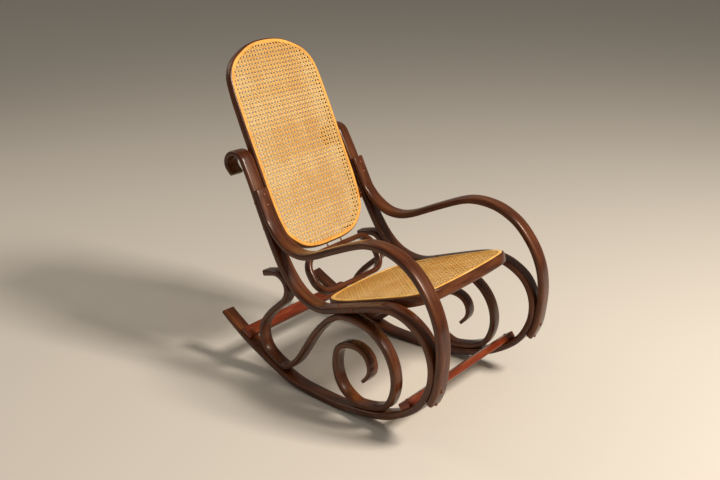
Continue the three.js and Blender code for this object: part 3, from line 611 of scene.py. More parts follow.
def plane_place(origin: Sequence[float], lean: float) -> Placer:
    """Takes a flat piece drawn in x and y, with its front on +z, to a plane turned about X.

    Args:
        origin: Where the drawing's zero goes, in the drawing frame of the chair.
        lean: Angle about X in radians.

    Returns:
        A function of points (n, 3).
    """
    c, s = math.cos(lean), math.sin(lean)

    def place(points: np.ndarray) -> np.ndarray:
        """Turns and moves the points.

        Args:
            points: Points (n, 3) in millimetres.

        Returns:
            The points in the chair's frame.
        """
        y = points[:, 1] * c - points[:, 2] * s + origin[1] - ORIGIN_SHIFT
        z = points[:, 1] * s + points[:, 2] * c + origin[2]
        return np.stack([points[:, 0] + origin[0], y, z], axis=1)

    return place


# ---- finishes ----


def linear(hex_colour: str) -> tuple[float, float, float, float]:
    """Linear colour of an sRGB hex value.

    Args:
        hex_colour: The colour as a hash and six hex digits.

    Returns:
        Red, green, blue and an opacity of one.
    """
    parts = [int(hex_colour[i : i + 2], 16) / 255 for i in (1, 3, 5)]
    flat = [p / 12.92 if p <= 0.04045 else ((p + 0.055) / 1.055) ** 2.4 for p in parts]
    return (*flat, 1.0)


def add(
    tree: bpy.types.NodeTree, kind: str, settings: Optional[dict] = None, links: Optional[dict] = None
) -> bpy.types.Node:
    """Adds a node.

    Args:
        tree: The node tree.
        kind: Type name of the node.
        settings: Attributes, or input values where the key is an input's name or number.
        links: Input name or number to the output socket that feeds it.

    Returns:
        The new node.
    """
    node = tree.nodes.new(kind)
    for key, value in (settings or {}).items():
        if isinstance(key, str) and hasattr(node, key):
            setattr(node, key, value)
        else:
            node.inputs[key].default_value = value
    for key, source in (links or {}).items():
        tree.links.new(source, node.inputs[key])
    return node


def new_material(name: str) -> tuple[bpy.types.Material, bpy.types.NodeTree, bpy.types.Node]:
    """A node material with its principled shader.

    Args:
        name: Material name.

    Returns:
        The material, its node tree and its shader node.
    """
    material = bpy.data.materials.new(name)
    material.use_nodes = True
    tree = material.node_tree
    return material, tree, tree.nodes["Principled BSDF"]


def stained(
    tree: bpy.types.NodeTree,
    shader: bpy.types.Node,
    shade: bpy.types.NodeSocket,
    stops: Sequence[tuple[float, str]],
) -> None:
    """Colours a shader by a shade that changes over the surface.

    Args:
        tree: The node tree.
        shader: The material's shader.
        shade: Socket with the shade, from 0 to 1.
        stops: Shades, each with its sRGB hex value.
    """
    colours = add(tree, "ShaderNodeValToRGB", {}, {"Fac": shade})
    elements = colours.color_ramp.elements
    while len(elements) < len(stops):
        elements.new(0.5)
    for element, (place, colour) in zip(elements, stops):
        element.position = place
        element.color = linear(colour)
    tree.links.new(colours.outputs["Color"], shader.inputs["Base Color"])


@dataclass(frozen=True)
class VarnishedBeech:
    """Steam-bent beech, stained and varnished.

    The stain gathers in the long pores, so the grain shows as fine darker lines along the bend. It took
    unevenly, which gives slow clouds of lighter and darker brown. The brushed varnish gives a soft, clear
    reflection that breaks up a little where it was handled. Sizes are in millimetres.
    """

    name: str
    deep: str
    body: str
    light: str
    grain_width: float = 1.6
    grain_length: float = 90.0
    cloud_length: float = 160.0
    cloud_width: float = 25.0
    pore_depth: float = 0.4
    pore_strength: float = 0.06
    tone_stops: tuple[float, float, float] = (0.36, 0.5, 0.66)
    roughness_low: float = 0.2
    roughness_high: float = 0.34
    ior: float = 1.5
    specular_level: float = 0.36
    coat_weight: float = 0.08
    coat_roughness: float = 0.18
    follows_grain: bool = True

    def _stretched(
        self,
        tree: bpy.types.NodeTree,
        source: bpy.types.NodeSocket,
        length: float,
        width: float,
        detail: float,
    ) -> bpy.types.NodeSocket:
        """Noise stretched along the bend.

        Args:
            tree: The node tree.
            source: Texture coordinates, in metres, with the bar's length along X.
            length: Pattern size along the bar, in millimetres.
            width: Pattern size across it.
            detail: Noise detail.

        Returns:
            Socket with the noise, from 0 to 1.
        """
        scale = (1 / (length * MM), 1 / (width * MM), 1 / (width * MM))
        mapping = add(tree, "ShaderNodeMapping", {"Scale": scale}, {"Vector": source})
        settings = {"Scale": 1.0, "Detail": detail, "Roughness": 0.6}
        return add(tree, "ShaderNodeTexNoise", settings, {"Vector": mapping.outputs[0]}).outputs["Fac"]

    def build(self) -> bpy.types.Material:
        """Builds the material.

        Returns:
            The material.
        """
        material, tree, shader = new_material(self.name)
        source = add(tree, "ShaderNodeTexCoord").outputs["UV" if self.follows_grain else "Object"]
        # Fine pores along the bend.
        grain = self._stretched(tree, source, self.grain_length, self.grain_width, 4.0)
        # Slow clouds where the stain took unevenly.
        cloud = self._stretched(tree, source, self.cloud_length, self.cloud_width, 2.0)
        half = add(tree, "ShaderNodeMath", {"operation": "MULTIPLY", 1: 0.5}, {0: cloud})
        settings = {"operation": "MULTIPLY_ADD", 1: 0.5}
        mixed = add(tree, "ShaderNodeMath", settings, {0: grain, 2: half.outputs[0]})
        colours = (self.deep, self.body, self.light)
        stained(tree, shader, mixed.outputs[0], list(zip(self.tone_stops, colours)))
        # The varnish is a little duller where the clouds are light.
        reach = {"From Min": 0.3, "From Max": 0.7}
        reach |= {"To Min": self.roughness_low, "To Max": self.roughness_high}
        gloss = add(tree, "ShaderNodeMapRange", reach, {"Value": cloud})
        tree.links.new(gloss.outputs["Result"], shader.inputs["Roughness"])
        shader.inputs["IOR"].default_value = self.ior
        shader.inputs["Specular IOR Level"].default_value = self.specular_level
        shader.inputs["Coat Weight"].default_value = self.coat_weight
        shader.inputs["Coat Roughness"].default_value = self.coat_roughness
        # The pores stand a little open under the varnish.
        relief = {"Strength": self.pore_strength, "Distance": self.pore_depth * MM}
        bump = add(tree, "ShaderNodeBump", relief, {"Height": grain})
        tree.links.new(bump.outputs["Normal"], shader.inputs["Normal"])
        return material


@dataclass(frozen=True)
class RattanCane:
    """Split rattan, scraped and woven.

    The skin of the rattan is smooth and a little shiny. Each strand has its own shade of gold, so rows of
    the weave show as paler and browner bands, with a few browner nodes along a strand. Sizes are in
    millimetres.
    """

    name: str
    pale: str
    body: str
    brown: str
    patch_size: float = 55.0
    fleck_size: float = 7.0
    strand_share: float = 0.5
    patch_share: float = 0.6
    tone_stops: tuple[float, float, float] = (0.34, 0.48, 0.64)
    roughness: float = 0.55

    def _shade_part(self, tree: bpy.types.NodeTree, size: float, share: float) -> bpy.types.NodeSocket:
        """Part of the shade that changes with one pattern.

        Args:
            tree: The node tree.
            size: Pattern size in millimetres.
            share: Share of the shade.

        Returns:
            Socket with that part.
        """
        source = add(tree, "ShaderNodeTexCoord").outputs["Object"]
        settings = {"Scale": 1 / (size * MM), "Detail": 3.0}
        noise = add(tree, "ShaderNodeTexNoise", settings, {"Vector": source})
        part = add(tree, "ShaderNodeMath", {"operation": "MULTIPLY", 1: share}, {0: noise.outputs["Fac"]})
        return part.outputs[0]

    def build(self) -> bpy.types.Material:
        """Builds the material.

        Returns:
            The material.
        """
        material, tree, shader = new_material(self.name)
        rest = 1.0 - self.strand_share
        # Broad patches where the cane aged more.
        patch = self._shade_part(tree, self.patch_size, rest * self.patch_share)
        # Small flecks and nodes.
        fleck = self._shade_part(tree, self.fleck_size, rest * (1.0 - self.patch_share))
        both = add(tree, "ShaderNodeMath", {"operation": "ADD"}, {0: patch, 1: fleck})
        # Shade of the strand itself, kept on the woven mesh.
        tone = add(tree, "ShaderNodeAttribute", {"attribute_name": "tone"})
        settings = {"operation": "MULTIPLY_ADD", 1: self.strand_share}
        mixed = add(tree, "ShaderNodeMath", settings, {0: tone.outputs["Fac"], 2: both.outputs[0]})
        colours = (self.brown, self.body, self.pale)
        stained(tree, shader, mixed.outputs[0], list(zip(self.tone_stops, colours)))
        shader.inputs["Roughness"].default_value = self.roughness
        return material


@dataclass(frozen=True)
class LacqueredSteel:
    """Steel screws under the same brown varnish as the wood: a dull brown dome with an uneven gleam."""

    name: str
    colour: str
    spot_size: float = 2.5
    roughness: float = 0.38
    roughness_spread: float = 0.2
    metallic: float = 0.3

    def build(self) -> bpy.types.Material:
        """Builds the material.

        Returns:
            The material.
        """
        material, tree, shader = new_material(self.name)
        source = add(tree, "ShaderNodeTexCoord").outputs["Object"]
        spots = add(tree, "ShaderNodeTexNoise", {"Scale": 1 / (self.spot_size * MM)}, {"Vector": source})
        reach = {"To Min": self.roughness, "To Max": self.roughness + self.roughness_spread}
        gloss = add(tree, "ShaderNodeMapRange", reach, {"Value": spots.outputs["Fac"]})
        tree.links.new(gloss.outputs["Result"], shader.inputs["Roughness"])
        shader.inputs["Base Color"].default_value = linear(self.colour)
        shader.inputs["Metallic"].default_value = self.metallic
        return material


@dataclass(frozen=True)
class PaleFloor:
    """Plain matt floor."""

    name: str
    colour: str
    roughness: float = 0.9

    def build(self) -> bpy.types.Material:
        """Builds the material.

        Returns:
            The material.
        """
        material, _, shader = new_material(self.name)
        shader.inputs["Base Color"].default_value = linear(self.colour)
        shader.inputs["Roughness"].default_value = self.roughness
        return material


@dataclass
class Palette:
    """All finishes of the chair, each built once."""

    dark: bpy.types.Material = field(init=False)
    red: bpy.types.Material = field(init=False)
    plain: bpy.types.Material = field(init=False)
    back_cane: bpy.types.Material = field(init=False)
    seat_cane: bpy.types.Material = field(init=False)
    back_binding: bpy.types.Material = field(init=False)
    seat_binding: bpy.types.Material = field(init=False)
    steel: bpy.types.Material = field(init=False)

    def __post_init__(self) -> None:
        """Builds the materials."""
        brown = ("#2A1208", "#4C2510", "#6C3E1C")
        self.dark = VarnishedBeech("varnished_beech_dark", *brown).build()
        self.red = VarnishedBeech("varnished_beech_red", "#4A1A0B", "#6C2A12", "#874421").build()
        self.plain = VarnishedBeech("varnished_beech_block", *brown, follows_grain=False).build()
        self.back_cane = RattanCane("rattan_cane_back", "#FFDC9A", "#F8C878", "#EBB462").build()
        self.seat_cane = RattanCane("rattan_cane_seat", "#FFD68A", "#F8C468", "#EAAE52").build()
        strip = {"strand_share": 0.0, "roughness": 0.4}
        gold, straw = ("#E8AC56", "#DA9B43", "#C28736"), ("#FFD68A", "#F3BE62", "#E0A44A")
        self.back_binding = RattanCane("rattan_binding_back", *gold, **strip).build()
        self.seat_binding = RattanCane("rattan_binding_seat", *straw, **strip).build()
        self.steel = LacqueredSteel("brown_lacquered_steel", "#6B3A22").build()

    def wood(self, tone: Tone) -> bpy.types.Material:
        """The bentwood finish of a tone."""
        return self.red if tone is Tone.RED else self.dark


def dress(
    obj: bpy.types.Object, material: bpy.types.Material, slot_name: str, *nodes: str
) -> bpy.types.Object:
    """Gives a finished piece its material and body, and hides the CAD nodes that it stands for.

    Args:
        obj: The piece.
        material: Its finish.
        slot_name: Not used.
        nodes: CAD nodes that it stands for.

    Returns:
        The piece.
    """
    obj.data.materials.clear()
    obj.data.materials.append(material)
    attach(obj, BODY)
    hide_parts(*nodes)
    LOG.info("%s: %d faces", obj.name, len(obj.data.polygons))
    return obj


# ---- geometry node trees ----


def node_tree(
    name: str, inputs: dict[str, tuple[str, object]]
) -> tuple[bpy.types.NodeTree, bpy.types.Node, bpy.types.Node]:
    """A geometry node tree with a geometry input and named size inputs.

    Args:
        name: Tree name.
        inputs: Input name to (socket type, default value).

    Returns:
        The tree, its input node and its output node.
    """
    tree = bpy.data.node_groups.new(name, "GeometryNodeTree")
    tree.interface.new_socket("Geometry", in_out="INPUT", socket_type="NodeSocketGeometry")
    tree.interface.new_socket("Geometry", in_out="OUTPUT", socket_type="NodeSocketGeometry")
    for key, (kind, value) in inputs.items():
        made = tree.interface.new_socket(key, in_out="INPUT", socket_type=kind)
        if value is not None:
            made.default_value = value
    return tree, tree.nodes.new("NodeGroupInput"), tree.nodes.new("NodeGroupOutput")


def identifier(tree: bpy.types.NodeTree, name: str) -> str:
    """Identifier of a named input socket.

    Args:
        tree: The tree.
        name: The input's name.

    Returns:
        Its identifier, which the modifier's settings go by.
    """
    for item in tree.interface.items_tree:
        if item.item_type == "SOCKET" and item.in_out == "INPUT" and item.name == name:
            return item.identifier
    raise KeyError(name)


def applied(
    obj: bpy.types.Object, tree: bpy.types.NodeTree, values: dict[str, object], name: str
) -> bpy.types.Object:
    """Runs a tree on an object and keeps the result as a plain mesh.

    Args:
        obj: Carrier of the tree's input geometry. It is removed.
        tree: The tree.
        values: Input name to value.
        name: Name of the new object.

    Returns:
        The new object.
    """
    modifier = obj.modifiers.new("rule", "NODES")
    modifier.node_group = tree
    for key, value in values.items():
        modifier[identifier(tree, key)] = value
    bpy.context.view_layer.update()
    depsgraph = bpy.context.evaluated_depsgraph_get()
    mesh = bpy.data.meshes.new_from_object(obj.evaluated_get(depsgraph), depsgraph=depsgraph)
    obj.modifiers.remove(modifier)
    bpy.data.objects.remove(obj)
    mesh.name = name
    made = bpy.data.objects.new(name, mesh)
    bpy.context.scene.collection.objects.link(made)
    return made


def strand_tree() -> bpy.types.NodeTree:
    """Tree that turns edges into flat cane strands with a crowned face.

    Returns:
        The tree.
    """
    tree, start, end = node_tree(
        "cane_strands",
        {
            "Strand Width": ("NodeSocketFloat", 0.003),
            "Strand Thickness": ("NodeSocketFloat", 0.0008),
            "Material": ("NodeSocketMaterial", None),
        },
    )
    curve = add(tree, "GeometryNodeMeshToCurve", {}, {0: start.outputs["Geometry"]})
    upright = add(tree, "GeometryNodeSetCurveNormal", {}, {"Curve": curve.outputs[0]})
    upright.mode = "Z_UP"
    sides = []
    for share in (0.5, -0.5):
        settings = {"operation": "MULTIPLY", 1: share}
        half = add(tree, "ShaderNodeMath", settings, {0: start.outputs["Strand Width"]})
        sides.append(add(tree, "ShaderNodeCombineXYZ", {}, {"X": half.outputs[0]}))
    crown = add(tree, "ShaderNodeCombineXYZ", {}, {"Y": start.outputs["Strand Thickness"]})
    profile = add(tree, "GeometryNodeJoinGeometry")
    # The profile is a low triangle: two slopes up to the crown, and the flat back.
    for first, last in ((sides[0], crown), (crown, sides[1]), (sides[1], sides[0])):
        ends = {"Start": first.outputs[0], "End": last.outputs[0]}
        line = add(tree, "GeometryNodeCurvePrimitiveLine", {}, ends)
        tree.links.new(line.outputs[0], profile.inputs[0])
    curves = {"Curve": upright.outputs[0], "Profile Curve": profile.outputs[0]}
    swept = add(tree, "GeometryNodeCurveToMesh", {}, curves)
    merged = add(tree, "GeometryNodeMergeByDistance", {"Distance": 0.00002}, {"Geometry": swept.outputs[0]})
    real = add(tree, "GeometryNodeRealizeInstances", {}, {"Geometry": merged.outputs[0]})
    finish = {"Geometry": real.outputs[0], "Material": start.outputs["Material"]}
    painted = add(tree, "GeometryNodeSetMaterial", {}, finish)
    tree.links.new(painted.outputs[0], end.inputs[0])
    return tree


def screw_tree() -> bpy.types.NodeTree:
    """Tree that puts a screw at each point, turned to the point's outward direction.

    Returns:
        The tree.
    """
    tree, start, end = node_tree(
        "screw_heads",
        {"Screw": ("NodeSocketObject", None), "Material": ("NodeSocketMaterial", None)},
    )
    info = add(tree, "GeometryNodeObjectInfo", {}, {"Object": start.outputs["Screw"]})
    direction = add(tree, "GeometryNodeInputNamedAttribute", {"Name": "outward"})
    direction.data_type = "FLOAT_VECTOR"
    turn = add(tree, "FunctionNodeAlignEulerToVector", {}, {"Vector": direction.outputs["Attribute"]})
    turn.axis = "Z"
    points = add(tree, "GeometryNodeMeshToPoints", {}, {"Mesh": start.outputs["Geometry"]})
    links = {"Points": points.outputs[0], "Instance": info.outputs["Geometry"], "Rotation": turn.outputs[0]}
    placed = add(tree, "GeometryNodeInstanceOnPoints", {}, links)
    real = add(tree, "GeometryNodeRealizeInstances", {}, {"Geometry": placed.outputs[0]})
    finish = {"Geometry": real.outputs[0], "Material": start.outputs["Material"]}
    painted = add(tree, "GeometryNodeSetMaterial", {}, finish)
    tree.links.new(painted.outputs[0], end.inputs[0])
    return tree


# ---- sub-assemblies ----


@dataclass
class BentSide:
    """One side of the chair: frame with rocker, arm and scroll."""

    drawing: SideDrawing
    palette: Palette
    side: Side
    frame_width: float = 46.0
    arm_width: float = 46.0
    scroll_width: float = 38.0
    frame_start: Pairs = ((0, 12), (60, 17), (330, 17), (470, 21))
    frame_end: Pairs = ((140, 21), (0, 12))
    arm_start: Pairs = ((0, 14), (100, 14), (165, 19.8))
    arm_end: Pairs = ((0, 19.8),)
    scroll_start: Pairs = ((0, 19), (80, 18))
    scroll_end: Pairs = ((150, 18), (0, 11))
    arm_ease: float = 3.5
    arm_stand_off: float = 2.0
    scroll_corner: float = 6.0

    def build(self) -> list[bpy.types.Object]:
        """Builds and dresses the three bars.

        Returns:
            The bars.
        """
        place = side_place(self.side, self.frame_width)
        made = []
        for name, bar, path in self._bars():
            obj = outward(bar.build(f"bent_{name}_{self.side.label}", path, place))
            dress(obj, self.palette.wood(Tone.DARK), "bentwood", f"{name}_{self.side.label}")
            made.append(obj)
        return made

    def _bars(self) -> list[tuple[str, BentBar, Path]]:
        """The three bars.

        Returns:
            Name, bar and path of each.
        """
        d = self.drawing
        frame = tapered(d.frame.length, self.frame_start, self.frame_end)
        arm = tapered(d.arm.length, self.arm_start, self.arm_end)
        scroll = tapered(d.scroll.length, self.scroll_start, self.scroll_end)
        return [
            ("side_frame", BentBar(self.frame_width, frame), d.frame),
            ("arm", BentBar(self.arm_width, arm, end_ease=self.arm_ease), self._cut_arm()),
            ("scroll", BentBar(self.scroll_width, scroll, radius=self.scroll_corner), d.scroll),
        ]

    def _cut_arm(self) -> Path:
        """The arm's path, ended just above the lower end of the CAD arm.

        Returns:
            The shortened path.
        """
        arm = self.drawing.arm
        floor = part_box(f"arm_{self.side.label}")[0].z / MM
        tail = arm.run > arm.length / 2
        keep = ~(tail & (arm.points[:, 1] < floor + self.arm_stand_off))
        return Path(arm.points[keep], arm.run[keep], arm.tangent[keep], arm.normal[keep])


def even_loop(points: np.ndarray, count: int) -> np.ndarray:
    """Closed outline sampled again at even steps.

    Args:
        points: Points (n, 2) of the closed outline.
        count: Number of samples.

    Returns:
        Samples (count, 2).
    """
    curve = np.concatenate([points, points[:1]])
    run = np.concatenate([[0], np.cumsum(np.linalg.norm(np.diff(curve, axis=0), axis=1))])
    even = np.linspace(0, run[-1], count, endpoint=False)
    return np.stack([np.interp(even, run, curve[:, k]) for k in range(2)], axis=1)


def catmull(points: np.ndarray, count: int, per_point: int = 24) -> np.ndarray:
    """Closed centripetal Catmull-Rom curve, sampled evenly.

    Args:
        points: Points (n, 2) of the closed outline.
        count: Number of samples.
        per_point: Points worked out between two of the outline's.

    Returns:
        Samples (count, 2).
    """
    dense = []
    n = len(points)
    for i in range(n):
        p = [points[(i + k - 1) % n] for k in range(4)]
        t = [0.0]
        for a, b in zip(p, p[1:]):
            t.append(t[-1] + max(np.linalg.norm(b - a) ** 0.5, 1e-6))
        for u in np.linspace(t[1], t[2], per_point, endpoint=False):
            a1 = (t[1] - u) / (t[1] - t[0]) * p[0] + (u - t[0]) / (t[1] - t[0]) * p[1]
            a2 = (t[2] - u) / (t[2] - t[1]) * p[1] + (u - t[1]) / (t[2] - t[1]) * p[2]
            a3 = (t[3] - u) / (t[3] - t[2]) * p[2] + (u - t[2]) / (t[3] - t[2]) * p[3]
            b1 = (t[2] - u) / (t[2] - t[0]) * a1 + (u - t[0]) / (t[2] - t[0]) * a2
            b2 = (t[3] - u) / (t[3] - t[1]) * a2 + (u - t[1]) / (t[3] - t[1]) * a3
            dense.append((t[2] - u) / (t[2] - t[1]) * b1 + (u - t[1]) / (t[2] - t[1]) * b2)
    return even_loop(np.array(dense), count)


@dataclass
class FlatHoop:
    """Closed plane outline that can be inset, swept as a bar, and filled with woven cane."""

    outline: np.ndarray

    @classmethod
    def mirrored(cls, half: Pairs, count: int = 220) -> "FlatHoop":
        """Outline from its right half, mirrored about x = 0.

        Args:
            half: Points of the right half, from one end on x = 0 to the other.
            count: Number of samples.

        Returns:
            The hoop.
        """
        right = np.array(half)
        left = right[1:-1][::-1] * (-1, 1)
        return cls(catmull(np.concatenate([right, left]), count))

    @classmethod
    def rounded_rectangle(
        cls, half_width: float, low: float, high: float, radius: float, count: int = 160
    ) -> "FlatHoop":
        """Rounded rectangle about x = 0.

        Args:
            half_width: Half of its width.
            low: Its lower edge.
            high: Its upper edge.
            radius: Corner radius.
            count: Number of samples.

        Returns:
            The hoop.
        """
        points = []
        corners = ((1, high, 0.0), (-1, high, 90.0), (-1, low, 180.0), (1, low, 270.0))
        for sign, edge, start in corners:
            centre = (sign * (half_width - radius), edge - radius if edge == high else edge + radius)
            for angle in np.radians(np.linspace(start, start + 90.0, 16)):
                points.append((centre[0] + radius * math.cos(angle), centre[1] + radius * math.sin(angle)))
        return cls(even_loop(np.array(points)[::-1], count))

    def inset(self, distance: float) -> np.ndarray:
        """The outline moved inwards.

        Args:
            distance: How far, in millimetres.

        Returns:
            Points (n, 2).
        """
        before, after = np.roll(self.outline, 1, axis=0), np.roll(self.outline, -1, axis=0)
        tangent = after - before
        tangent /= np.linalg.norm(tangent, axis=1)[:, None]
        inward = np.stack([-tangent[:, 1], tangent[:, 0]], axis=1)
        area = np.sum(self.outline[:, 0] * after[:, 1] - after[:, 0] * self.outline[:, 1])
        return self.outline + inward * distance * (1 if area > 0 else -1)

    def bar(
        self,
        name: str,
        radial: float,
        top: float,
        depth: float,
        radius: float,
        place: Placer,
        margin: float = 0.0,
    ) -> bpy.types.Object:
        """Closed bar inside the outline.

        Args:
            name: Object name.
            radial: Size of the bar in the outline's plane.
            top: Height of its front face above the plane.
            depth: Size behind the front face.
            radius: Corner radius.
            place: Takes the drawing to the chair's frame.
            margin: How far the bar's outer face lies inside the outline.

        Returns:
            The linked object.
        """
        outline = section(radial, depth, radius)
        lines = []
        for across, up in outline:
            height = np.full(len(self.outline), top - depth / 2 + up)
            lines.append(np.column_stack([self.inset(margin + radial / 2 + across), height]))
        grid = np.stack(lines, axis=1)
        count, size = grid.shape[:2]
        steps = np.linalg.norm(np.diff(self.outline, axis=0, append=self.outline[:1]), axis=1)
        along = np.concatenate([[0.0], np.cumsum(steps)])
        sides = np.linalg.norm(np.diff(outline, axis=0, append=outline[:1]), axis=1)
        around = np.concatenate([[0.0], np.cumsum(sides)])
        faces, uv = [], []
        for r in range(count):
            s = (r + 1) % count
            for i in range(size):
                j = (i + 1) % size
                faces.append((r * size + i, r * size + j, s * size + j, s * size + i))
                uv += [(along[r], around[i]), (along[r], around[i + 1])]
                uv += [(along[r + 1], around[i + 1]), (along[r + 1], around[i])]
        obj = mesh_object(name, place(grid.reshape(-1, 3)), faces, np.array(uv) * MM)
        return outward(obj)


def inside(points: np.ndarray, outline: np.ndarray) -> np.ndarray:
    """Tells which points lie inside a closed outline.

    Args:
        points: Points (n, 2).
        outline: Points (m, 2) of the outline.

    Returns:
        True for each point inside.
    """
    x, y = points[:, 0][:, None], points[:, 1][:, None]
    x1, y1 = outline[:, 0], outline[:, 1]
    x2, y2 = np.roll(x1, -1), np.roll(y1, -1)
    crosses = (y1 > y) != (y2 > y)
    with np.errstate(divide="ignore", invalid="ignore"):
        at = (x2 - x1) * (y - y1) / (y2 - y1) + x1
    return (np.sum(crosses & (x < at), axis=1) % 2).astype(bool)


@dataclass(frozen=True)
class CaneWeave:
    """Woven cane: paired strands both ways and single diagonals that cut the corners of each opening.

    Each family lies lower than the top by its drop, besides the strand's own thickness and wave. The drops
    are those of the upright, the level and the diagonal strands.
    """

    pitch: float = 12.7
    pair_offset: float = 2.1
    strand_width: float = 3.0
    diagonal_width: float = 2.7
    thickness: float = 0.75
    wave: float = 0.35
    drops: tuple[float, float, float] = (0.1, 0.2, 0.45)
    tone_seed: int = 7
    tone_contrast: float = 1.6
    own_contrast: float = 0.35

    def _tones(self, count: int, key: int) -> np.ndarray:
        """Shade of each strand of a family: neighbours are cut from the same length of cane.

        Args:
            count: Number of strands.
            key: Number of the family, added to the seed.

        Returns:
            Shades from 0 to 1.
        """
        loose = np.random.default_rng(self.tone_seed + key).random(count + 4)
        near = np.convolve(loose, np.ones(5) / 5, mode="valid")
        shade = 0.5 + (near - 0.5) * self.tone_contrast + (loose[2:-2] - 0.5) * self.own_contrast
        return np.clip(shade, 0.0, 1.0)

    def _family(
        self, origin: float, direction: tuple[float, float], step: float, lift: float, outline: np.ndarray
    ) -> tuple[np.ndarray, list[tuple[int, int]]]:
        """Points and edges of one family of parallel strands.

        Args:
            origin: Offset of the first strand along the family's normal.
            direction: Unit direction of the strands.
            step: Distance between strands.
            lift: Mean height of the strands.
            outline: Closed outline that they fill.

        Returns:
            Points with the shade of their strand (n, 4), and edges.
        """
        along = np.array(direction)
        across = np.array((-along[1], along[0]))
        reach = np.abs(outline).max() * 1.5
        centre = outline.mean(axis=0)
        segment = self.pitch / 2 * (math.sqrt(2) if abs(along[0] * along[1]) > 0.1 else 1.0)
        points, keys, edges = [], [], []
        offsets = np.arange(-round(reach / step), round(reach / step) + 1) * step + origin
        tones = self._tones(len(offsets), round(along[0] * 10 + along[1] * 100))
        for row, offset in enumerate(offsets):
            runs = np.arange(-round(reach / segment), round(reach / segment) + 1) * segment
            line = centre + across * offset + along * runs[:, None]
            kept = inside(line, outline)
            height = lift + self.wave * np.where((np.arange(len(runs)) + row) % 2, 1.0, -1.0)
            for i in np.flatnonzero(kept[:-1] & kept[1:]):
                if not points or keys[-1] != (row, i):
                    points.append((*line[i], height[i], tones[row]))
                    keys.append((row, i))
                points.append((*line[i + 1], height[i + 1], tones[row]))
                keys.append((row, i + 1))
                edges.append((len(points) - 2, len(points) - 1))
        return np.array(points), edges

    def build(
        self, name: str, outline: np.ndarray, top: float, material: bpy.types.Material, place: Placer
    ) -> bpy.types.Object:
        """Weaves the cane inside an outline.

        Args:
            name: Object name.
            outline: Closed outline (n, 2) of the drawing.
            top: Height of the strands' crowns above the drawing plane.
            material: Its finish.
            place: Takes the drawing to the chair's frame.

        Returns:
            The woven sheet as one mesh.
        """
        tree = strand_tree()
        parts = []
        base = top - self.thickness - self.wave
        upright, level, diagonal = (base - drop for drop in self.drops)
        for sign in (-1, 1):
            off = sign * self.pair_offset
            for direction, lift in (((0.0, 1.0), upright), ((1.0, 0.0), level)):
                family = self._family(off, direction, self.pitch, lift, outline)
                parts.append((family, self.strand_width))
        root2 = math.sqrt(2)
        slant, step = 1 / root2, self.pitch / root2
        for direction in ((slant, slant), (-slant, slant)):
            family = self._family(step / 2, direction, step, diagonal, outline)
            parts.append((family, self.diagonal_width))
        meshes = []
        for (points, edges), width in parts:
            mesh = bpy.data.meshes.new(name)
            mesh.from_pydata((points[:, :3] * MM).tolist(), edges, [])
            shade = mesh.attributes.new("tone", "FLOAT", "POINT")
            shade.data.foreach_set("value", points[:, 3].astype(np.float32))
            carrier = bpy.data.objects.new(name, mesh)
            bpy.context.scene.collection.objects.link(carrier)
            values = {"Strand Width": width * MM, "Strand Thickness": self.thickness * MM}
            values["Material"] = material
            meshes.append(applied(carrier, tree, values, name))
        return joined(name, meshes, place)


def joined(name: str, parts: list[bpy.types.Object], place: Placer) -> bpy.types.Object:
    """Joins meshes into one object and takes it to its place.

    Args:
        name: Object name.
        parts: Objects whose meshes are in the drawing frame. They are removed.
        place: Takes the drawing, in millimetres, to the chair's frame.

    Returns:
        The joined object.
    """
    verts, faces, tones, start = [], [], [], 0
    for part in parts:
        count = len(part.data.vertices)
        co = np.empty(count * 3, np.float32)
        part.data.vertices.foreach_get("co", co)
        verts.append(co.reshape(-1, 3) / MM)
        tone = np.empty(count, np.float32)
        part.data.attributes["tone"].data.foreach_get("value", tone)
        tones.append(tone)
        faces += [tuple(start + i for i in poly.vertices) for poly in part.data.polygons]
        start += count
        bpy.data.objects.remove(part)
    made = mesh_object(name, place(np.concatenate(verts)), faces)
    made.data.attributes.new("tone", "FLOAT", "POINT").data.foreach_set("value", np.concatenate(tones))
    return made


@dataclass
class BackPanel:
    """Caned back: bent hoop, woven cane and its binding."""

    palette: Palette
    half_width: float = 193.0
    low: float = 417.0
    high: float = 1072.0
    lean: float = math.atan2(4122, 9111)
    floor_offset: float = 11.3
    radial: float = 19.0
    depth: float = 24.0
    corner: float = 5.5
    weave_inset: float = 7.0
    cane_thickness: float = 2.0
    binding_width: float = 9.2
    binding_inset: float = 4.8
    binding_corner: float = 0.9
    shares: Pairs = (
        (0, 1), (0.34, 0.99), (0.6, 0.96), (0.81, 0.92), (0.94, 0.862), (0.985, 0.777), (1, 0.66),
        (1, 0.44), (1, 0.27), (0.976, 0.178), (0.91, 0.103), (0.795, 0.063), (0.68, 0.035),
        (0.545, 0.016), (0.33, 0.003), (0, 0),
    )

    def build(self) -> list[bpy.types.Object]:
        """Builds and dresses the hoop, the cane and the binding.

        Returns:
            The three pieces.
        """
        rise = self.high - self.low
        hoop = FlatHoop.mirrored([(x * self.half_width, self.low + y * rise) for x, y in self.shares])
        place = plane_place((0, 0, self.floor_offset), math.pi / 2 - self.lean)
        under = -self.cane_thickness
        frame = hoop.bar("bent_back_hoop", self.radial, under, self.depth, self.corner, place)
        dress(frame, self.palette.wood(Tone.DARK), "bentwood", "back_hoop")
        inner = hoop.inset(self.weave_inset)
        weave = CaneWeave().build("woven_back_cane", inner, 0.0, self.palette.back_cane, place)
        dress(weave, self.palette.back_cane, "cane", "back_cane")
        strip = (self.binding_width, 0.0, self.cane_thickness, self.binding_corner)
        binding = hoop.bar("back_cane_binding", *strip, place, self.binding_inset)
        dress(binding, self.palette.back_binding, "cane_binding", "back_binding")
        return [frame, weave, binding]


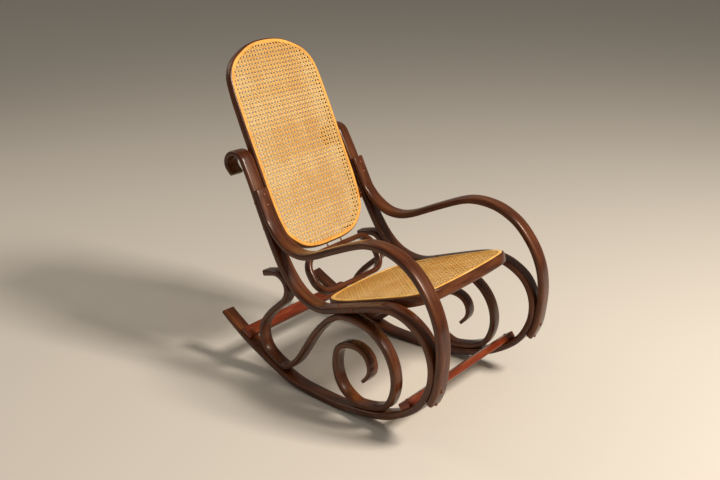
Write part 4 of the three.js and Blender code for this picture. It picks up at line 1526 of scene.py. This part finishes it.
@dataclass
class Seat:
    """Caned seat: bent rim, woven cane and its binding."""

    palette: Palette
    half_width: float = 228.5
    length: float = 452.0
    rear: float = 90.0
    height: float = 307.5
    slope: float = math.atan2(358.5, 1000)
    rim_width: float = 34.0
    rim_depth: float = 31.0
    rim_corner: float = 4.5
    weave_inset: float = 10.0
    cane_thickness: float = 2.0
    binding_width: float = 11.0
    binding_inset: float = 6.0
    binding_corner: float = 0.9
    weave: CaneWeave = CaneWeave(strand_width=3.4, diagonal_width=3.1, thickness=0.6, wave=0.25)
    shares: Pairs = (
        (0, 0), (0.25, 0.006), (0.45, 0.021), (0.66, 0.056), (0.775, 0.11), (0.862, 0.185),
        (0.917, 0.262), (0.95, 0.34), (0.966, 0.43), (0.975, 0.54), (0.985, 0.66), (0.992, 0.76),
        (0.975, 0.85), (0.905, 0.925), (0.77, 0.968), (0.5, 0.99), (0.25, 0.998), (0, 1),
    )

    def build(self) -> list[bpy.types.Object]:
        """Builds and dresses the rim, the cane and the binding.

        Returns:
            The three pieces.
        """
        points = [(x * self.half_width, self.rear - y * self.length) for x, y in self.shares]
        outline = FlatHoop.mirrored(points)
        place = plane_place((0, 0, self.height), -self.slope)
        under = -self.cane_thickness
        rim = outline.bar("bent_seat_rim", self.rim_width, under, self.rim_depth, self.rim_corner, place)
        dress(rim, self.palette.wood(Tone.DARK), "bentwood", "seat_frame")
        inner = outline.inset(self.weave_inset)
        sheet = self.weave.build("woven_seat_cane", inner, 0.0, self.palette.seat_cane, place)
        dress(sheet, self.palette.seat_cane, "cane", "seat_cane")
        strip = (self.binding_width, 0.0, self.cane_thickness, self.binding_corner)
        binding = outline.bar("seat_cane_binding", *strip, place, self.binding_inset)
        dress(binding, self.palette.seat_binding, "cane_binding", "seat_binding")
        return [rim, sheet, binding]


@dataclass
class LowerRing:
    """Closed bentwood ring between the seat and the back."""

    palette: Palette
    half_width: float = 160.0
    low: float = -105.0
    high: float = 31.0
    bend_radius: float = 60.0
    radial: float = 16.0
    depth: float = 26.0
    corner: float = 5.5
    centre: tuple[float, float, float] = (0.0, 148.0, 359.8)
    lean: float = math.atan2(700, 1000)

    def build(self) -> bpy.types.Object:
        """Builds and dresses the ring.

        Returns:
            The ring.
        """
        hoop = FlatHoop.rounded_rectangle(self.half_width, self.low, self.high, self.bend_radius)
        place = plane_place(self.centre, math.pi / 2 - self.lean)
        ring = hoop.bar("bent_lower_ring", self.radial, self.depth / 2, self.depth, self.corner, place)
        return dress(ring, self.palette.wood(Tone.DARK), "bentwood", "lower_back_ring")


@dataclass
class CrossRail:
    """Straight rail that lies on the two side frames."""

    palette: Palette
    drawing: SideDrawing
    rail: Rail
    half_length: float
    breadth: float = 38.0
    thickness: float = 20.0
    corner: float = 4.0
    ring_step: float = 60.0
    samples: int = 12

    def build(self) -> bpy.types.Object:
        """Builds and dresses the rail.

        Returns:
            The rail.
        """
        d = self.drawing
        index = d.at_rest_of(self.rail)
        gap = (d.frame_thickness + self.thickness) / 2 + d.clearance
        centre = d.frame.points[index] + d.frame.normal[index] * gap
        tangent, normal = d.frame.tangent[index], d.frame.normal[index]
        runs = np.linspace(-self.half_length, self.half_length, self.samples)
        ones, zeros = np.ones(self.samples), np.zeros(self.samples)
        line = np.stack([runs, zeros], axis=1)
        forward, upward = np.stack([ones, zeros], axis=1), np.stack([zeros, ones], axis=1)
        path = Path(line, runs + self.half_length, forward, upward)
        bar = BentBar(self.breadth, lambda run: self.thickness, radius=self.corner, step=self.ring_step)

        def place(points: np.ndarray) -> np.ndarray:
            """Lays the rail across the frames: own x is breadth, y is length and z is thickness.

            Args:
                points: Points (n, 3) in millimetres.

            Returns:
                The points in the chair's frame.
            """
            yz = centre + points[:, :1] * tangent + points[:, 2:] * normal
            return np.column_stack([points[:, 1], yz[:, 0] - ORIGIN_SHIFT, yz[:, 1]])

        name = self.rail.value
        made = outward(bar.build(f"{name}_cross_rail", path, place))
        return dress(made, self.palette.wood(Tone.RED), "bentwood", f"{name}_stretcher")


@dataclass
class Fasteners:
    """Domed wood screws and bolts at the places of the CAD ones."""

    palette: Palette
    head_radius: float = 4.9
    dome_height: float = 2.5
    dome_angles: tuple[int, ...] = (25, 50, 70, 84)
    head_rise: float = 0.5
    head_height: float = 3.05
    shank_radius: float = 2.3
    head_share: float = 0.8
    sides: int = 24

    def _screw(self, length: float) -> bpy.types.Object:
        """A screw whose head stands over z = 0 and whose shank runs down.

        Args:
            length: Length of the shank.

        Returns:
            The screw, to be copied.
        """
        rise = self.head_rise
        profile = [(self.shank_radius, -length), (self.shank_radius, rise), (self.head_radius, rise)]
        for angle in np.radians(self.dome_angles):
            height = rise + self.dome_height * math.sin(angle)
            profile.append((self.head_radius * math.cos(angle), height))
        verts, faces = [], []
        for radius, z in profile:
            for k in range(self.sides):
                turn = 2 * math.pi * k / self.sides
                verts.append((radius * math.cos(turn), radius * math.sin(turn), z))
        rows = len(profile)
        for r in range(rows - 1):
            for k in range(self.sides):
                n = (k + 1) % self.sides
                a, b = r * self.sides, (r + 1) * self.sides
                faces.append((a + k, a + n, b + n, b + k))
        faces.append(tuple(range(self.sides))[::-1])
        faces.append(tuple((rows - 1) * self.sides + k for k in range(self.sides)))
        return mesh_object("screw_pattern", np.array(verts), faces)

    def _axis(self, node: str, frame: dict) -> tuple[np.ndarray, np.ndarray, float]:
        """Place, direction and length of a CAD screw.

        Args:
            node: Name of the CAD node.
            frame: The loaded frame.

        Returns:
            Base of the head, outward direction and length of the shank, in millimetres.
        """
        mesh = frame["nodes"][node].data
        co = np.empty(len(mesh.vertices) * 3, np.float32)
        mesh.vertices.foreach_get("co", co)
        points = np.unique((co.reshape(-1, 3) / MM).round(2), axis=0)
        middle = points.mean(axis=0)
        direction = np.linalg.svd(points - middle)[2][0]
        reach = (points - middle) @ direction
        off = np.linalg.norm(points - middle - reach[:, None] * direction, axis=1)
        if reach[off.argmax()] < 0:
            direction, reach = -direction, -reach
        top, low = reach.max(), reach.min()
        # The head's rim gives the centre, which is then moved to the top of the head.
        centre = points[off > off.max() * self.head_share].mean(axis=0)
        centre = centre + direction * (top - (centre - middle) @ direction)
        return centre - direction * self.head_height, direction, top - low - self.head_height

    def build(self, frame: dict) -> list[bpy.types.Object]:
        """Builds one object for each length of screw.

        Args:
            frame: The loaded frame.

        Returns:
            The objects.
        """
        names = sorted(name for name in frame["nodes"] if "_screw" in name or "_bolt" in name)
        groups: dict[int, list[str]] = {}
        for name in names:
            groups.setdefault(round(self._axis(name, frame)[2]), []).append(name)
        tree = screw_tree()
        made = []
        for length, members in sorted(groups.items()):
            places = [self._axis(name, frame) for name in members]
            mesh = bpy.data.meshes.new("screw_points")
            mesh.from_pydata([(base * MM).tolist() for base, _, _ in places], [], [])
            turn = mesh.attributes.new("outward", "FLOAT_VECTOR", "POINT")
            directions = np.concatenate([direction for _, direction, _ in places])
            turn.data.foreach_set("vector", directions.astype(np.float32))
            carrier = bpy.data.objects.new("screw_points", mesh)
            bpy.context.scene.collection.objects.link(carrier)
            pattern = self._screw(float(length))
            values = {"Screw": pattern, "Material": self.palette.steel}
            obj = applied(carrier, tree, values, f"steel_screws_{length}mm")
            bpy.data.objects.remove(pattern)
            obj.data.polygons.foreach_set("use_smooth", [False] * len(obj.data.polygons))
            made.append(dress(obj, self.palette.steel, "screw_steel", *members))
        return made


@dataclass
class HoopBlocks:
    """Small blocks between the posts and the hoop, as the CAD has them."""

    palette: Palette

    def build(self, frame: dict) -> None:
        """Gives each CAD block the wood finish.

        Args:
            frame: The loaded frame.
        """
        for name, node in frame["nodes"].items():
            if name.startswith("hoop_block"):
                node.data.materials.clear()
                node.data.materials.append(self.palette.plain)
                LOG.info("%s: dressed", name)


# ---- studio ----


@dataclass
class Studio:
    """Plain floor, soft lights and the camera.

    A lamp has a name, a place in metres, a size in metres and a power in watts.
    """

    floor_colour: str = "#C9C6C0"
    floor_half: float = 30000.0
    sky_colour: str = "#FFF4E4"
    sky_strength: float = 0.22
    lamp_colour: str = "#FFF1E0"
    lamp_aim: tuple[float, float, float] = (0.0, 0.0, 0.45)
    lamps: tuple[tuple[str, tuple[float, float, float], float, float], ...] = (
        ("key_lamp", (0.7, -3.0, 3.5), 1.0, 270.0),
        ("fill_lamp", (-3.4, -1.6, 2.6), 2.4, 16.0),
        ("rim_lamp", (-0.6, 2.8, 2.6), 1.8, 20.0),
    )
    focal_px: float = 969.6
    image_width: float = 720.0
    sensor: float = 36.0
    camera_turn: float = -51.07
    camera_pitch: float = 20.645
    camera_place: tuple[float, float, float] = (-2.134, -1.6574, 1.4531)

    def build(self) -> None:
        """Builds the floor, the lights and the camera."""
        self._floor()
        self._lights()
        self._camera()
        bpy.context.scene.view_settings.view_transform = "Standard"

    def _floor(self) -> None:
        """A large pale floor."""
        half = self.floor_half
        verts = np.array([(-half, -half, 0), (half, -half, 0), (half, half, 0), (-half, half, 0)])
        floor = mesh_object("studio_floor", verts, [(0, 1, 2, 3)])
        floor.data.materials.append(PaleFloor("matt_floor", self.floor_colour).build())
        floor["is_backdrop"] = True

    def _lights(self) -> None:
        """Soft sky and three area lamps."""
        world = bpy.data.worlds.new("soft_sky")
        bpy.context.scene.world = world
        world.use_nodes = True
        background = world.node_tree.nodes["Background"]
        background.inputs["Color"].default_value = linear(self.sky_colour)
        background.inputs["Strength"].default_value = self.sky_strength
        for name, place, size, power in self.lamps:
            data = bpy.data.lights.new(name, "AREA")
            data.energy = power
            data.size = size
            data.color = linear(self.lamp_colour)[:3]
            lamp = bpy.data.objects.new(name, data)
            lamp.location = place
            aim = Vector(self.lamp_aim) - Vector(place)
            lamp.rotation_euler = aim.to_track_quat("-Z", "Y").to_euler()
            bpy.context.scene.collection.objects.link(lamp)

    def _camera(self) -> None:
        """Camera at the photograph's viewing angle."""
        data = bpy.data.cameras.new("photo_camera")
        data.sensor_width = self.sensor
        data.lens = self.focal_px * self.sensor / self.image_width
        camera = bpy.data.objects.new("photo_camera", data)
        x, y, z = self.camera_place
        camera.location = (x, y - ORIGIN_SHIFT * MM, z)
        camera.rotation_euler = (math.radians(90 - self.camera_pitch), 0, math.radians(self.camera_turn))
        bpy.context.scene.collection.objects.link(camera)
        bpy.context.scene.camera = camera


def corners() -> list[list[float]]:
    """Lowest and highest corner of the shown object."""
    return [list(corner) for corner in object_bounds()]


def main() -> None:
    """Builds the chair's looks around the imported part."""
    logging.basicConfig(level=logging.INFO, format="%(message)s")
    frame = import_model()
    palette = Palette()
    drawing = SideDrawing()
    pieces = [piece for side in Side for piece in BentSide(drawing, palette, side).build()]
    pieces += BackPanel(palette).build()
    pieces += Seat(palette).build()
    pieces.append(LowerRing(palette).build())
    pieces += [CrossRail(palette, drawing, rail, RAIL_HALF_LENGTHS[rail]).build() for rail in Rail]
    pieces += Fasteners(palette).build(frame)
    LOG.info("%d pieces", len(pieces))
    HoopBlocks(palette).build(frame)
    Studio().build()


if __name__ == "__main__":
    main()
